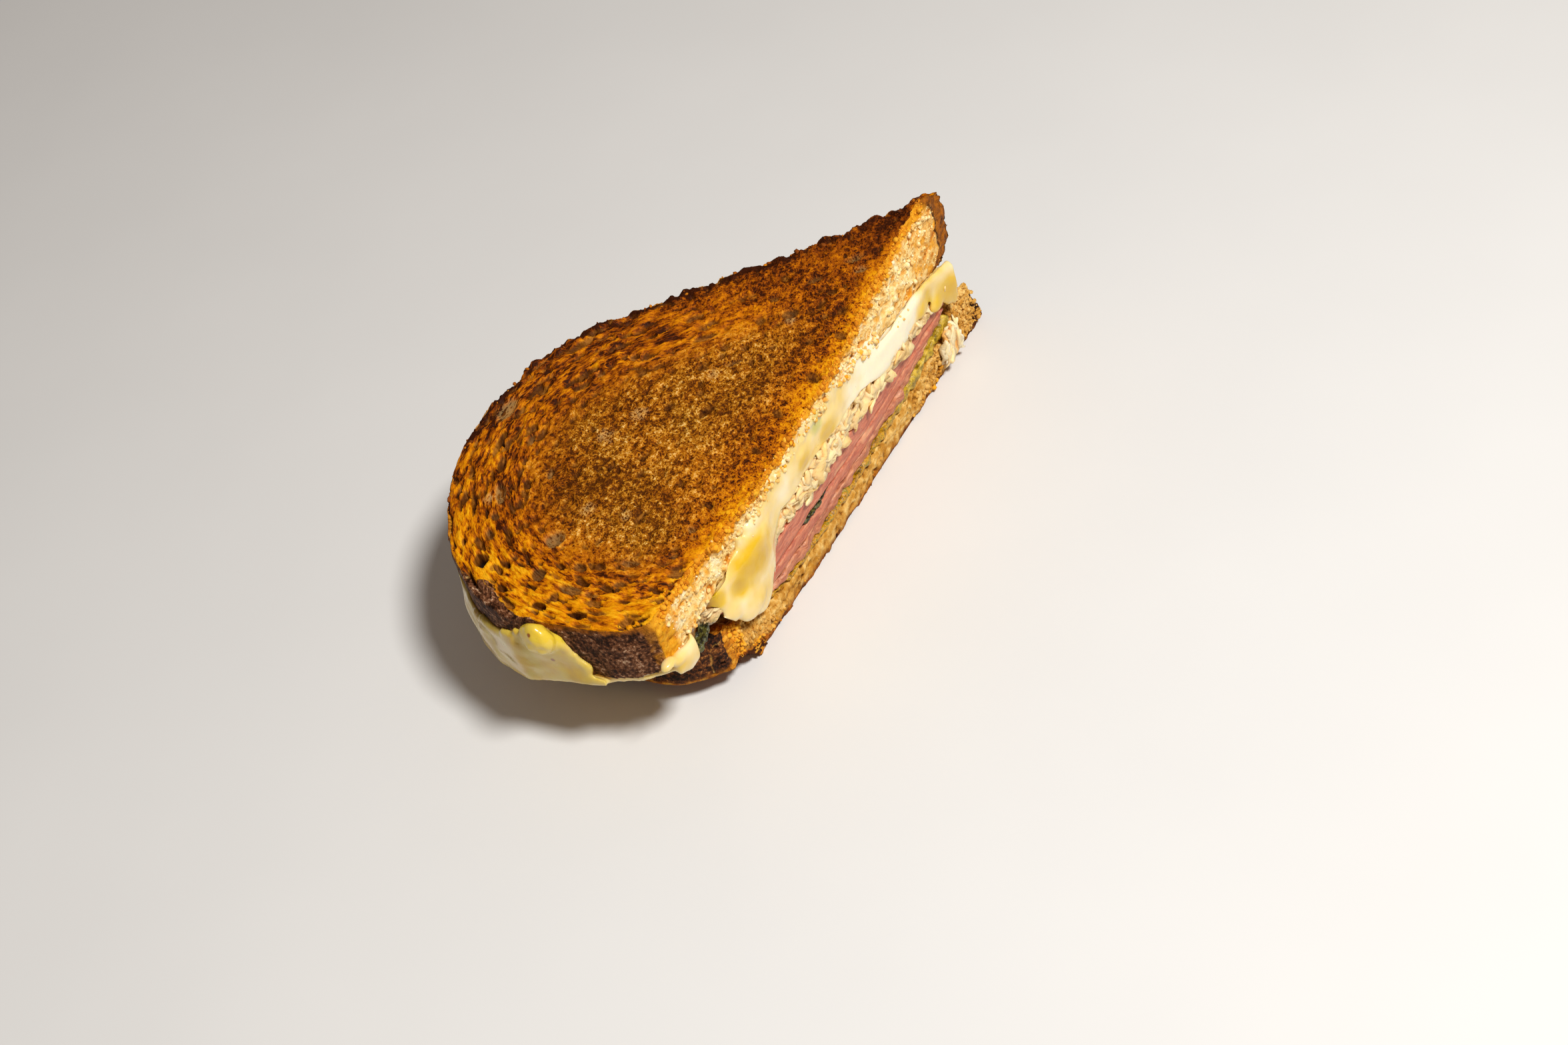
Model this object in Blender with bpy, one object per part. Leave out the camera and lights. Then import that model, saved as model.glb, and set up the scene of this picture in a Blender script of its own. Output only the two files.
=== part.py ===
"""Half of a grilled rye sandwich, cut across and lying on its lower slice, cut face towards -Y.

The two slices of a round-ended loaf hold melted cheese, sauerkraut, sliced beef and relish. The cut
runs along X, from the fat end of the slice at -X to its pointed corner at +X. Lengths below are in
millimetres on a drawing board whose Y axis starts at the cut face, and the board is carried to the
object's own frame, with its origin at the middle of the base, by the empty that holds the pieces.
"""

import math
import random

import bmesh
import bpy
from mathutils import Matrix, Vector, noise

MM = 0.001
GAP = 0.35  # air between pieces that touch
BOARD_TO_FRAME = (0.15, -32.45, 0.0)  # carries the middle of the base to the origin

# Plan of a slice: a round end, a straight flank tangent to it, and the cut between them.
END_CENTRE = Vector((-26.0, 20.0))
END_RADIUS = 46.2
FLANK_ANGLE = math.radians(43.3)  # direction from the round end's centre to the flank
FLAT_SIDE = 3.0  # how far the near side is flatter than the round end
CORNER_CUT = 1.3  # further loss where the near side meets the cut
NOTCH_AT, NOTCH_DEPTH = 50.2, 2.4  # along the flank, where the crust is pinched
EAR_AT, EAR_HEIGHT = 61.0, 1.4  # the ear of crust past the notch
NEAR_SHARE, FAR_SHARE = 0.235, 0.905  # of the crust line, the corners of the plan grid

# Heights at the near end, middle and far end of the cut.
TOP_LEVEL, TOP_LEAN = 43.1, 0.07
TOP_SAG, SAG_REACH = 3.0, 16.0
TOP_SLICE = (13.9, 9.6, 19.8)
LOW_SLICE = (11.0, 5.7, 10.8)
TOP_SLICE_AT_CRUST, LOW_SLICE_AT_CRUST = 14.6, 13.0
TOE_CURL, TOE_REACH = 5.6, (10.0, 25.0)  # how the lower slice's near end curls up underneath
NEAR_RISE, NEAR_RISE_DEPTH = 8.8, 12.0  # how it rises on top, at the cut
TIP_RISE = 1.8  # the same at the far tip
CUT_EASE = 0.8  # how far the toasted edge is worn back at the cut
EDGE_ROUND = 0.9  # how far the toasted face drops to the crust

# Share of the filling's height that each layer takes, again near, middle and far.
RELISH_SHARE = (0.1, 0.06, 0.16)
BEEF_SHARE = (0.40, 0.485, 0.32)
KRAUT_SHARE = (0.22, 0.31, 0.26)
BEEF_SPLIT = (0.47, 0.30, 0.23)  # upper, middle and lower slice of beef

LOW_SHIFT = 9.5  # the lower slice lies further along the cut than the upper
FILLING_SHIFT = 5.0
CHEESE_CLEAR = 0.55  # from the cut face to the back of the cheese that runs down it

NEAR_X, FAR_X = -62.5, 56.5
CRUST_LENGTH = 204.0


def three(values, share):
    """The smooth curve through three values, at the start, middle and end."""
    near, middle, far = values
    return (
        near * (1 - share) * (1 - 2 * share)
        + 4 * middle * share * (1 - share)
        + far * share * (2 * share - 1)
    )


def bell(distance, half_width):
    """1 at no distance, falling to 0 at half_width."""
    reach = min(abs(distance) / half_width, 1.0)
    return 0.5 + 0.5 * math.cos(math.pi * reach)


def step(value, start, end):
    """0 before start, 1 after end, smooth between them."""
    share = min(max((value - start) / (end - start), 0.0), 1.0)
    return share * share * (3 - 2 * share)


def wave(place, size, seed):
    """Smooth noise between about -1 and 1, over lumps of the given size."""
    return noise.noise(Vector((place[0] / size + seed, place[1] / size - seed, seed * 1.7)))


def flank_line(inset):
    """Where the flank leaves the round end, and its direction towards the far corner."""
    outward = Vector((math.cos(FLANK_ANGLE), math.sin(FLANK_ANGLE)))
    return END_CENTRE + (END_RADIUS - inset) * outward, Vector((outward.y, -outward.x)), outward


def rim(share, inset=0.0, shift=0.0):
    """A point of the crust line at this share of its length, from the near corner to the far one."""
    leave, along, outward = flank_line(inset)
    flank = leave.y / -along.y
    radius_at_cut = END_RADIUS - FLAT_SIDE - CORNER_CUT - inset
    start_angle = math.pi + math.asin(END_CENTRE.y / radius_at_cut)
    arc = END_RADIUS * (start_angle - FLANK_ANGLE)
    travelled = share * (arc + flank)
    if travelled < arc:
        angle = start_angle + (FLANK_ANGLE - start_angle) * travelled / arc
        flatter = FLAT_SIDE * step(angle, math.radians(160), math.radians(184))
        flatter += CORNER_CUT * step(angle, math.radians(198), start_angle)
        radius = END_RADIUS - inset - flatter
        point = END_CENTRE + radius * Vector((math.cos(angle), math.sin(angle)))
    else:
        run = travelled - arc
        proud = EAR_HEIGHT * bell(run - EAR_AT, 8.0) - NOTCH_DEPTH * bell(run - NOTCH_AT, 4.0)
        point = leave + run * along + proud * step(flank - run, 0.0, 4.0) * outward
    return point + Vector((shift, 0.0))


def outward_at(share):
    """Level direction out of the crust. At the two ends of the cut it runs along the cut."""
    if share <= 0.0:
        return Vector((-1.0, 0.0))
    if share >= 1.0:
        return Vector((1.0, 0.0))
    ahead = rim(min(share + 0.01, 1.0)) - rim(max(share - 0.01, 0.0))
    return Vector((-ahead.y, ahead.x)).normalized()


def crust_distance(x, y):
    """How far a place of the plan lies inside the crust line, less than 0 outside it."""
    leave, along, outward = flank_line(0.0)
    place = Vector((x, y))
    if (place - leave).dot(along) > 0.0:
        return (leave - place).dot(outward)
    return END_RADIUS - (place - END_CENTRE).length


def near_crust(x, y):
    """0 at the cut, growing towards 1 at the crust."""
    inside = max(y, 0.0)
    outer = max(crust_distance(x - LOW_SHIFT / 2, y), -6.0) + 9.0
    return (inside / (inside + outer)) ** 1.3


def along_cut(x):
    """Share of the way along the cut, from the near end to the far one."""
    return min(max((x - NEAR_X) / (FAR_X - NEAR_X), -0.05), 1.1)


def toast_level(x, y):
    """The toasted face: it leans up to the far corner, and sags to the middle of the cut."""
    sag = TOP_SAG * max(1.0 - ((x + 3.0) / 58.0) ** 2, 0.0) * math.exp(-max(y, 0.0) / SAG_REACH)
    rounded = EDGE_ROUND * math.exp(-max(crust_distance(x, y), 0.0) / 2.2) * step(y, 0.0, 5.0)
    return TOP_LEVEL + TOP_LEAN * x - sag - rounded + 0.35 * wave((x, y), 7.0, 3.1)


def under_top(x, y):
    """Underside of the upper slice."""
    crust = near_crust(x, y)
    plain = TOP_LEVEL + TOP_LEAN * x - TOP_SAG * max(1.0 - ((x + 3.0) / 58.0) ** 2, 0.0)
    at_cut = plain - three(TOP_SLICE, along_cut(x))
    at_crust = TOP_LEVEL + TOP_LEAN * x - TOP_SLICE_AT_CRUST
    return at_cut + (at_crust - at_cut) * crust + 0.25 * wave((x, y), 9.0, 8.3)


def toe(x, y):
    """Height by which the lower slice's near end is curled up."""
    inside = crust_distance(x - LOW_SHIFT, y)
    return TOE_CURL * step(-x, 17.0, 38.0) * (1.0 - step(inside, *TOE_REACH))


def over_low(x, y):
    """Upper face of the lower slice."""
    at_cut = three(LOW_SLICE, along_cut(x)) + TIP_RISE * step(x, 55.0, 66.0)
    level = at_cut + (LOW_SLICE_AT_CRUST - at_cut) * near_crust(x, y)
    return level + NEAR_RISE * step(-x, 29.0, 48.0) * math.exp(-max(y, 0.0) / NEAR_RISE_DEPTH)


def filling_level(x, y, share):
    """Height at this share of the filling, counted from the lower slice up."""
    low = over_low(x, y)
    return low + (under_top(x, y) - low) * share


def relish_top(x, y):
    return filling_level(x, y, three(RELISH_SHARE, along_cut(x)))


def beef_level(x, y, part):
    """Height at this part of the beef: 0 under the lowest slice, 1 on the upper one."""
    share = along_cut(x)
    start = three(RELISH_SHARE, share)
    return filling_level(x, y, start + part * three(BEEF_SHARE, share))


def kraut_top(x, y):
    share = along_cut(x)
    return filling_level(
        x, y, three(RELISH_SHARE, share) + three(BEEF_SHARE, share) + three(KRAUT_SHARE, share)
    )


def plan(across, deep, inset, shift):
    """Maps the unit square on the plan. across runs near to far, deep from the cut to the crust."""
    def edge(share):
        spread = inset(share) if callable(inset) else inset
        return rim(share, spread, shift)

    near_low, far_low = edge(0.0), edge(1.0)
    near_high, far_high = edge(NEAR_SHARE), edge(FAR_SHARE)
    cut = near_low.lerp(far_low, across)
    crust = edge(NEAR_SHARE + (FAR_SHARE - NEAR_SHARE) * across)
    near = edge(NEAR_SHARE * deep)
    far = edge(1.0 - (1.0 - FAR_SHARE) * deep)
    corners = near_low.lerp(far_low, across).lerp(near_high.lerp(far_high, across), deep)
    return cut.lerp(crust, deep) + near.lerp(far, across) - corners


def rim_share(across, deep):
    """Share of the crust line at an outer point of the unit square, or None inside it."""
    if across <= 0.0:
        return NEAR_SHARE * deep
    if across >= 1.0:
        return 1.0 - (1.0 - FAR_SHARE) * deep
    if deep >= 1.0:
        return NEAR_SHARE + (FAR_SHARE - NEAR_SHARE) * across
    return None


def closer_at_ends(share, pull=0.4):
    """Spaces grid lines closer together at both ends."""
    return share + pull * (0.5 - 0.5 * math.cos(math.pi * share) - share)


def pull(mesh, faces, keep=False):
    """Extrudes the faces, drops the old ones unless kept, and gives the new faces and points."""
    made = bmesh.ops.extrude_face_region(mesh, geom=faces)["geom"]
    if not keep:
        bmesh.ops.delete(mesh, geom=faces, context="FACES")
    new_faces = [item for item in made if isinstance(item, bmesh.types.BMFace)]
    new_points = [item for item in made if isinstance(item, bmesh.types.BMVert)]
    return new_faces, new_points


def grid_slab(columns, rows, levels):
    """A closed slab on the unit square, with its place kept on each point: across, deep, level."""
    mesh = bmesh.new()
    across = mesh.verts.layers.float.new("across")
    deep = mesh.verts.layers.float.new("deep")
    level = mesh.verts.layers.int.new("level")
    bmesh.ops.create_grid(mesh, x_segments=columns, y_segments=rows, size=1.0)
    for point in mesh.verts:
        point[across] = round((point.co.x + 1) / 2, 6)
        point[deep] = round(closer_at_ends((point.co.y + 1) / 2), 6)
    region = mesh.faces[:]
    for number in range(1, levels):
        region, fresh = pull(mesh, region, keep=number == 1)
        for point in fresh:
            point[level] = number
    return mesh, across, deep, level


def finish(mesh, name, colour, roughness, collection, holder):
    """Scales the board's millimetres to metres and makes the named object."""
    bmesh.ops.scale(mesh, vec=(MM, MM, MM), verts=mesh.verts)
    bmesh.ops.recalc_face_normals(mesh, faces=mesh.faces)
    data = bpy.data.meshes.new(name)
    mesh.to_mesh(data)
    mesh.free()
    data.shade_smooth()
    data.set_sharp_from_angle(angle=math.radians(50))
    material = bpy.data.materials.new(name)
    material.use_nodes = True
    shader = material.node_tree.nodes["Principled BSDF"]
    shader.inputs["Base Color"].default_value = (*colour, 1.0)
    shader.inputs["Roughness"].default_value = roughness
    data.materials.append(material)
    piece = bpy.data.objects.new(name, data)
    piece.parent = holder
    collection.objects.link(piece)
    return piece


def bread_slab(inset, shift, top, bottom, profile, bulge):
    """A slice of bread. profile lists (share of the height down, share of the bulge) of the crust."""
    mesh, across, deep, level = grid_slab(27, 10, len(profile))
    for point in mesh.verts:
        place = plan(point[across], point[deep], inset, shift)
        share = rim_share(point[across], point[deep])
        down, swell = profile[point[level]]
        if share is not None:
            place = place + bulge(share, down, swell) * outward_at(share)
        high, low = top(place.x, place.y), bottom(place.x, place.y)
        at_cut = point[deep] <= 0.0
        y = place.y + (CUT_EASE if at_cut and point[level] == 0 else 0.0)
        y += 0.2 * wave((place.x, high * (1 - down)), 5.0, 5.5) if at_cut else 0.0
        point.co = (place.x, y, high + (low - high) * down)
    return mesh


def make_bread_top(collection, holder):
    """The upper slice: the toasted face up, crust round it, crumb at the cut."""
    profile = ((0.0, 0.0), (0.15, 0.7), (0.42, 1.0), (0.75, 0.85), (1.0, 0.3))

    def bulge(share, down, swell):
        return (0.4 + 1.2 * step(share, 0.3, 0.42) + 7.2 * step(share, 0.965, 1.0)) * swell

    mesh = bread_slab(0.0, 0.0, toast_level, under_top, profile, bulge)
    return finish(mesh, "bread_top", (0.42, 0.19, 0.05), 0.8, collection, holder)


def make_bread_bottom(collection, holder):
    """The lower slice, flat where it rests, curled up at the near end and flared at the far tip."""
    profile = ((0.0, 0.0), (0.2, 0.55), (0.6, 1.0), (0.87, 0.95), (1.0, 0.7))

    def bulge(share, down, swell):
        tip = step(share, 0.95, 1.0)
        return 1.6 * swell * (1.0 - tip) + 6.2 * down ** 0.8 * tip

    def inset(share):
        run = share * CRUST_LENGTH
        near = 3.2 * (1.0 - step(run, 30.0, 62.0)) + 1.6 * (1.0 - step(run, 0.0, 14.0))
        return 1.5 + near - 1.7 * step(share, 0.95, 1.0)

    def top(x, y):
        return over_low(x, y) - GAP

    def bottom(x, y):
        return toe(x, y)

    mesh = bread_slab(inset, LOW_SHIFT, top, bottom, profile, bulge)
    return finish(mesh, "bread_bottom", (0.5, 0.3, 0.12), 0.85, collection, holder)


def make_layer(name, colour, roughness, shape, heights, collection, holder):
    """A wavy-edged layer of the filling. shape is (inset, set back at the near end of the cut,
    waviness, shift, front, seed)."""
    inset, set_back, waviness, shift, front, seed = shape
    top, bottom = heights
    mesh, across, deep, level = grid_slab(24, 6, 3)

    def outline(share):
        back = set_back * (1.0 - step(share, 0.0, 0.2))
        return inset + back + waviness * wave((share * 26.0, 0.0), 1.0, seed)

    for point in mesh.verts:
        place = plan(point[across], point[deep], outline, shift)
        high, low = top(place.x, max(place.y, 0.0)), bottom(place.x, max(place.y, 0.0))
        z = (high, (high + low) / 2, low)[point[level]]
        if point[level] == 1:
            share = rim_share(point[across], point[deep])
            swell = 0.22 * (high - low)
            if share is not None:
                place = place + swell * outward_at(share)
        y = place.y
        if point[deep] <= 0.0:
            y = front + 0.2 * wave((place.x, z), 3.5, seed)
        point.co = (place.x, y, z)
    return finish(mesh, name, colour, roughness, collection, holder)


def slack(x):
    """Further air between the layers towards the near end, where they part."""
    return 0.75 * step(-x, 16.0, 30.0)


def herb_gap(x, y):
    """Half the height by which the upper two slices of beef part at the cut, round the herbs."""
    return 0.75 * bell(x + 6.5, 12.0) * math.exp(-max(y, 0.0) / 5.0)


def make_beef(collection, holder):
    """Three slices of salt beef, lying on each other, the upper two parted round some herbs."""
    ends = [0.0]
    for share in reversed(BEEF_SPLIT):
        ends.append(ends[-1] + share)
    names = ("beef_lower", "beef_middle", "beef_upper")
    shapes = (
        (7.0, 14.0, 2.2, 9.0, 0.35, 2.3),
        (4.5, 12.0, 1.8, 7.0, 0.3, 4.9),
        (4.0, 8.0, 1.6, 6.0, 0.25, 7.7),
    )
    tints = ((0.52, 0.2, 0.16), (0.55, 0.21, 0.17), (0.58, 0.23, 0.18))
    for number, name in enumerate(names):
        def top(x, y, end=ends[number + 1], drop=(0.0, 1.0, 0.0)[number]):
            return beef_level(x, y, end) - GAP - slack(x) - drop * herb_gap(x, y)

        def bottom(x, y, start=ends[number], lift=(0.0, 0.0, 1.0)[number]):
            return beef_level(x, y, start) + lift * herb_gap(x, y)

        make_layer(name, tints[number], 0.45, shapes[number], (top, bottom), collection, holder)


def make_relish(collection, holder):
    """A thin spread of mustard relish on the lower slice, thicker at the far end."""
    def top(x, y):
        return relish_top(x, y) - GAP

    def bottom(x, y):
        return over_low(x, y) + 0.6 * slack(x)

    shape = (7.0, 14.0, 1.5, 9.0, 0.3, 6.1)
    make_layer("relish", (0.5, 0.4, 0.08), 0.5, shape, (top, bottom), collection, holder)


def make_herbs(collection, holder):
    """Dark green leaves: one between the slices of beef, one in the gap at the near end."""
    def between_beef(x, y):
        return beef_level(x, y, BEEF_SPLIT[1] + BEEF_SPLIT[2]) - GAP / 2

    def on_corner(x, y):
        return 20.6 + 0.5 * (x + 51.5)

    leaves = (
        ("herb_middle", (-7.0, 1.5), (13.0, 3.0, 0.5), between_beef),
        ("herb_near", (-51.5, 1.3), (5.6, 3.2, 0.9), on_corner),
    )
    for name, centre, (length, width, thick), level in leaves:
        mesh = bmesh.new()
        bmesh.ops.create_cube(mesh, size=1.0)
        long_edges = [e for e in mesh.edges if abs((e.verts[0].co - e.verts[1].co).x) > 0.5]
        bmesh.ops.subdivide_edges(mesh, edges=long_edges, cuts=5)
        wide_edges = [e for e in mesh.edges if abs((e.verts[0].co - e.verts[1].co).y) > 0.5]
        bmesh.ops.subdivide_edges(mesh, edges=wide_edges, cuts=1)
        for point in mesh.verts:
            share, side = point.co.x, point.co.y
            x = centre[0] + share * length
            y = centre[1] + side * width * (0.35 + 0.65 * math.cos(math.pi * share * 0.9))
            ripple = 0.3 * math.sin(share * 17.0 + side * 4.0)
            point.co = (x, y, level(x, y) + (point.co.z + ripple) * thick)
        bmesh.ops.triangulate(mesh, faces=mesh.faces)
        finish(mesh, name, (0.04, 0.07, 0.02), 0.5, collection, holder)


# Cheese that runs down the cut face: place along the cut, half its width, and how far it hangs.
CUT_DRIPS = ((-32.5, 12.5, 15.5), (-57.5, 6.0, 3.6), (31.0, 14.0, 3.6), (62.0, 13.0, 8.0))
LIP_UP = 1.4  # how far the cheese climbs the crumb
LIP_THICK, DRIP_THICK = 0.9, 2.4
SHEET_PROUD = 0.25  # how far the cheese inside stands out of the cut
BARE = (-49.5, 6.0)  # where the cheese stays back from the cut: place and half width

# Cheese on the crust of the near side, by its place along the crust line in millimetres.
SKIRT_FROM, SKIRT_TO = 13.0, 76.0
SKIRT_CLEAR, SKIRT_THICK = 0.95, 0.8  # from the crust line to its back, and its thickness
SKIRT_LIFT = 0.75  # share of the cheese's thickness by which it starts higher near the cut
KNOB_AT, KNOB_SIZE = 32.0, 4.0


def cut_drop(x):
    """How far the cheese hangs down the cut face below the cheese inside."""
    return 0.7 + sum(length * bell(x - place, half) ** 0.7 for place, half, length in CUT_DRIPS)


def cut_thick(x):
    """Thickness of the cheese on the cut face."""
    swell = sum(bell(x - place, half) * min(length / 8.0, 1.0) for place, half, length in CUT_DRIPS)
    held_back = 1.0 - 0.75 * bell(x - BARE[0], BARE[1])
    return (LIP_THICK + (DRIP_THICK - LIP_THICK) * min(swell, 1.0)) * held_back


def skirt_drop(run):
    """How far the cheese hangs outside the near crust."""
    return 0.35 + 1.9 * step(run, 20.0, 44.0) * (1.0 - step(run, 56.0, SKIRT_TO))


def skirt_rise(run):
    """How far the cheese climbs the crust from below."""
    return 0.8 + 8.0 * bell(run - KNOB_AT, 13.0) + 6.5 * bell(run - 66.0, 10.0)


def make_cheese(collection, holder):
    """The melted cheese: a sheet under the upper slice, with lips and drips down its open sides."""
    mesh, across, deep, level = grid_slab(34, 6, 2)
    ring = mesh.verts.layers.int.new("ring")
    reach = mesh.verts.layers.float.new("reach")

    def top(x, y):
        return under_top(x, y) - GAP

    def sheet_outline(share):
        spare = 0.9 * max(wave((share * 30.0, 0.0), 1.0, 9.2), -0.4)
        return 0.6 + spare - 3.0 * step(share, 0.96, 1.0)

    def placed(point):
        return plan(point[across], point[deep], sheet_outline, 0.0)

    def flange(walls, kind):
        """Pulls these wall faces out, then up over the bread and down over the filling."""
        for number in (1, 2):
            walls, fresh = pull(mesh, walls)
            for point in fresh:
                point[ring] = kind + number
        for side, steps in ((0, 2), (1, 4)):
            caps = [
                face
                for face in mesh.faces
                if all(p[level] == side and p[ring] in (kind + 1, kind + 2) for p in face.verts)
                and len({p[ring] for p in face.verts}) == 2
            ]
            for number in range(1, steps + 1):
                caps, fresh = pull(mesh, caps)
                for point in fresh:
                    point[reach] = number / steps

    def shares(face):
        return [rim_share(point[across], point[deep]) for point in face.verts]

    front = [face for face in mesh.faces if all(p[deep] <= 0.0 for p in face.verts)]
    near_walls = [
        face
        for face in mesh.faces
        if face not in front
        and all(s is not None for s in shares(face))
        and len({p[level] for p in face.verts}) == 2
        and all(SKIRT_FROM <= s * CRUST_LENGTH <= SKIRT_TO for s in shares(face))
    ]
    flange(front, 10)
    flange(near_walls, 20)

    for point in mesh.verts:
        place = placed(point)
        x, y = place.x, max(place.y, 0.0)
        edge = (top(x, y), kraut_top(x, y))[point[level]]
        kind, number = divmod(point[ring], 10)
        way = (1.0, -1.0)[point[level]]
        amount = point[reach]
        if kind == 0:
            point.co = (x, place.y - (SHEET_PROUD if point[deep] <= 0.0 else 0.0), edge)
        elif kind == 1:
            grow = LIP_UP if way > 0 else cut_drop(x)
            taper = 1.0 - 0.55 * amount ** 2
            y = -CHEESE_CLEAR - (cut_thick(x) * taper if number == 2 else 0.0)
            point.co = (x, y, edge + way * grow * amount)
        else:
            share = rim_share(point[across], point[deep])
            run = share * CRUST_LENGTH
            if point[level] == 1:
                edge += SKIRT_LIFT * (top(x, y) - edge) * (1.0 - step(run, SKIRT_FROM, 38.0))
            grow = skirt_rise(run) if way > 0 else skirt_drop(run)
            height = edge + way * grow * amount
            taper = 1.0 - 0.45 * amount ** 2
            knob = 1.3 * bell(run - KNOB_AT, KNOB_SIZE) * bell(amount - 0.75, 0.6) * (way > 0)
            offset = SKIRT_CLEAR + (SKIRT_THICK * taper + knob if number == 2 else 0.0)
            crust = rim(share) + offset * outward_at(share)
            point.co = (crust.x, crust.y, height)
    return finish(mesh, "cheese", (0.8, 0.62, 0.24), 0.3, collection, holder)


def shred(length, width, thick, bend, centre, turn, draw):
    """One shred of cabbage as a bent strip with four sides."""
    mesh = bmesh.new()
    bmesh.ops.create_cube(mesh, size=1.0)
    long_edges = [e for e in mesh.edges if abs((e.verts[0].co - e.verts[1].co).x) > 0.5]
    bmesh.ops.subdivide_edges(mesh, edges=long_edges, cuts=3)
    phase = draw.uniform(0.0, math.tau)
    for point in mesh.verts:
        share = point.co.x * 2.0
        narrow = 1.0 - 0.35 * share * share
        point.co = (
            share * length / 2,
            point.co.y * thick - bend * share * share,
            point.co.z * width * narrow + 0.25 * math.sin(share * 3.0 + phase),
        )
    bmesh.ops.rotate(mesh, verts=mesh.verts, matrix=turn)
    bmesh.ops.translate(mesh, verts=mesh.verts, vec=centre)
    return mesh


def join(core, pieces):
    """Fuses the pieces on the core with one Boolean and removes them."""
    group = bpy.data.collections.new("fused")
    for number, mesh in enumerate(pieces):
        bmesh.ops.scale(mesh, vec=(MM, MM, MM), verts=mesh.verts)
        bmesh.ops.recalc_face_normals(mesh, faces=mesh.faces)
        data = bpy.data.meshes.new(f"piece_{number}")
        mesh.to_mesh(data)
        mesh.free()
        piece = bpy.data.objects.new(f"piece_{number}", data)
        piece.parent = core.parent
        group.objects.link(piece)
    bpy.context.scene.collection.children.link(group)
    bpy.context.view_layer.update()
    union = core.modifiers.new("fuse", "BOOLEAN")
    union.operation = "UNION"
    union.solver = "MANIFOLD"
    union.operand_type = "COLLECTION"
    union.collection = group
    graph = bpy.context.evaluated_depsgraph_get()
    fused = bpy.data.meshes.new_from_object(core.evaluated_get(graph))
    core.modifiers.clear()
    core.data = fused
    for piece in list(group.objects):
        bpy.data.objects.remove(piece)
    bpy.data.collections.remove(group)


FRONT_SHREDS, CRUST_SHREDS, TUFT_SHREDS = 48, 26, 6
TUFT_CENTRE = Vector((53.8, -1.1, 7.2))


def make_sauerkraut(collection, holder):
    """The heap of sauerkraut: a core through the food, with shreds fused on its open sides."""
    shape = (5.0, 5.0, 1.4, FILLING_SHIFT, 0.45, 1.9)

    def top(x, y):
        return kraut_top(x, y) - GAP

    def bottom(x, y):
        return beef_level(x, y, 1.0)

    core = make_layer(
        "sauerkraut", (0.75, 0.6, 0.32), 0.45, shape, (top, bottom), collection, holder
    )
    draw = random.Random(17)
    pieces = []
    for number in range(FRONT_SHREDS):
        x = -39.0 + 94.0 * (number + draw.uniform(-0.4, 0.4)) / (FRONT_SHREDS - 1)
        low, high = bottom(x, 0.0), top(x, 0.0)
        room = high - low
        width, length = draw.uniform(1.0, 1.7), draw.uniform(5.0, 9.5)
        tilt = draw.uniform(-0.5, 0.5) * min(room / 7.0, 1.0)
        reach = 0.5 * length * abs(math.sin(tilt)) + 0.5 * width + 0.45
        if reach * 2 > room or bell(x + 33.0, 14.0) > 0.0:
            continue
        z = low + reach + (room - 2 * reach) * draw.random()
        turn = Matrix.Rotation(tilt, 3, "Y")
        centre = Vector((x, draw.uniform(0.35, 0.75), z))
        bend = draw.uniform(-1.0, 0.55)
        pieces.append(shred(length, width, 0.8, bend, centre, turn, draw))
    for number in range(CRUST_SHREDS):
        share = 0.16 + 0.78 * (number + draw.uniform(-0.4, 0.4)) / (CRUST_SHREDS - 1)
        at = rim(share, 4.6, FILLING_SHIFT)
        out = outward_at(share)
        low, high = bottom(at.x, at.y), top(at.x, at.y)
        width, length = draw.uniform(1.0, 1.5), draw.uniform(6.0, 10.0)
        tilt = draw.uniform(-0.16, 0.16)
        reach = 0.5 * length * abs(math.sin(tilt)) + 0.5 * width + 0.6
        if reach * 2 > high - low:
            continue
        z = low + reach + (high - low - 2 * reach) * draw.random()
        heading = math.atan2(out.x, -out.y)
        turn = Matrix.Rotation(heading, 3, "Z") @ Matrix.Rotation(tilt, 3, "Y")
        bend = draw.uniform(-1.2, 0.2)
        pieces.append(shred(length, width, 0.8, bend, Vector((at.x, at.y, z)), turn, draw))
    join(core, pieces)


def make_tuft(collection, holder):
    """Shreds that have slid out and hang on the cut face of the lower slice at the far end."""
    draw = random.Random(5)
    core = shred(9.5, 2.4, 1.1, 0.1, TUFT_CENTRE, Matrix.Rotation(1.15, 3, "Y"), draw)
    tuft = finish(core, "sauerkraut_tuft", (0.8, 0.66, 0.38), 0.45, collection, holder)
    pieces = []
    for _ in range(TUFT_SHREDS):
        tilt = 1.2 + draw.uniform(-0.5, 0.5)
        centre = TUFT_CENTRE + Vector((draw.uniform(-2.4, 2.4), -0.05, draw.uniform(-2.4, 1.6)))
        turn = Matrix.Rotation(tilt, 3, "Y")
        length, width = draw.uniform(5.0, 7.5), draw.uniform(0.9, 1.4)
        pieces.append(shred(length, width, 0.8, draw.uniform(0.0, 0.5), centre, turn, draw))
    join(tuft, pieces)


def main():
    for item in list(bpy.data.objects):
        bpy.data.objects.remove(item)
    collection = bpy.data.collections.new("reuben_half")
    bpy.context.scene.collection.children.link(collection)
    holder = bpy.data.objects.new("base_centre", None)
    holder.location = Vector(BOARD_TO_FRAME) * MM
    collection.objects.link(holder)
    make_bread_bottom(collection, holder)
    make_relish(collection, holder)
    make_beef(collection, holder)
    make_sauerkraut(collection, holder)
    make_cheese(collection, holder)
    make_bread_top(collection, holder)
    make_herbs(collection, holder)
    make_tuft(collection, holder)


main()
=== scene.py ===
"""Looks of half a grilled reuben sandwich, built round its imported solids.

The half lies on its lower slice with the cut face towards -Y. Sizes are in millimetres, and meshes
are scaled to metres as they are made. The plan starts where the solids' own plan does, at the cut
edge, and PLAN_START carries it to the frame.
"""

import itertools
import math
import random

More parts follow.
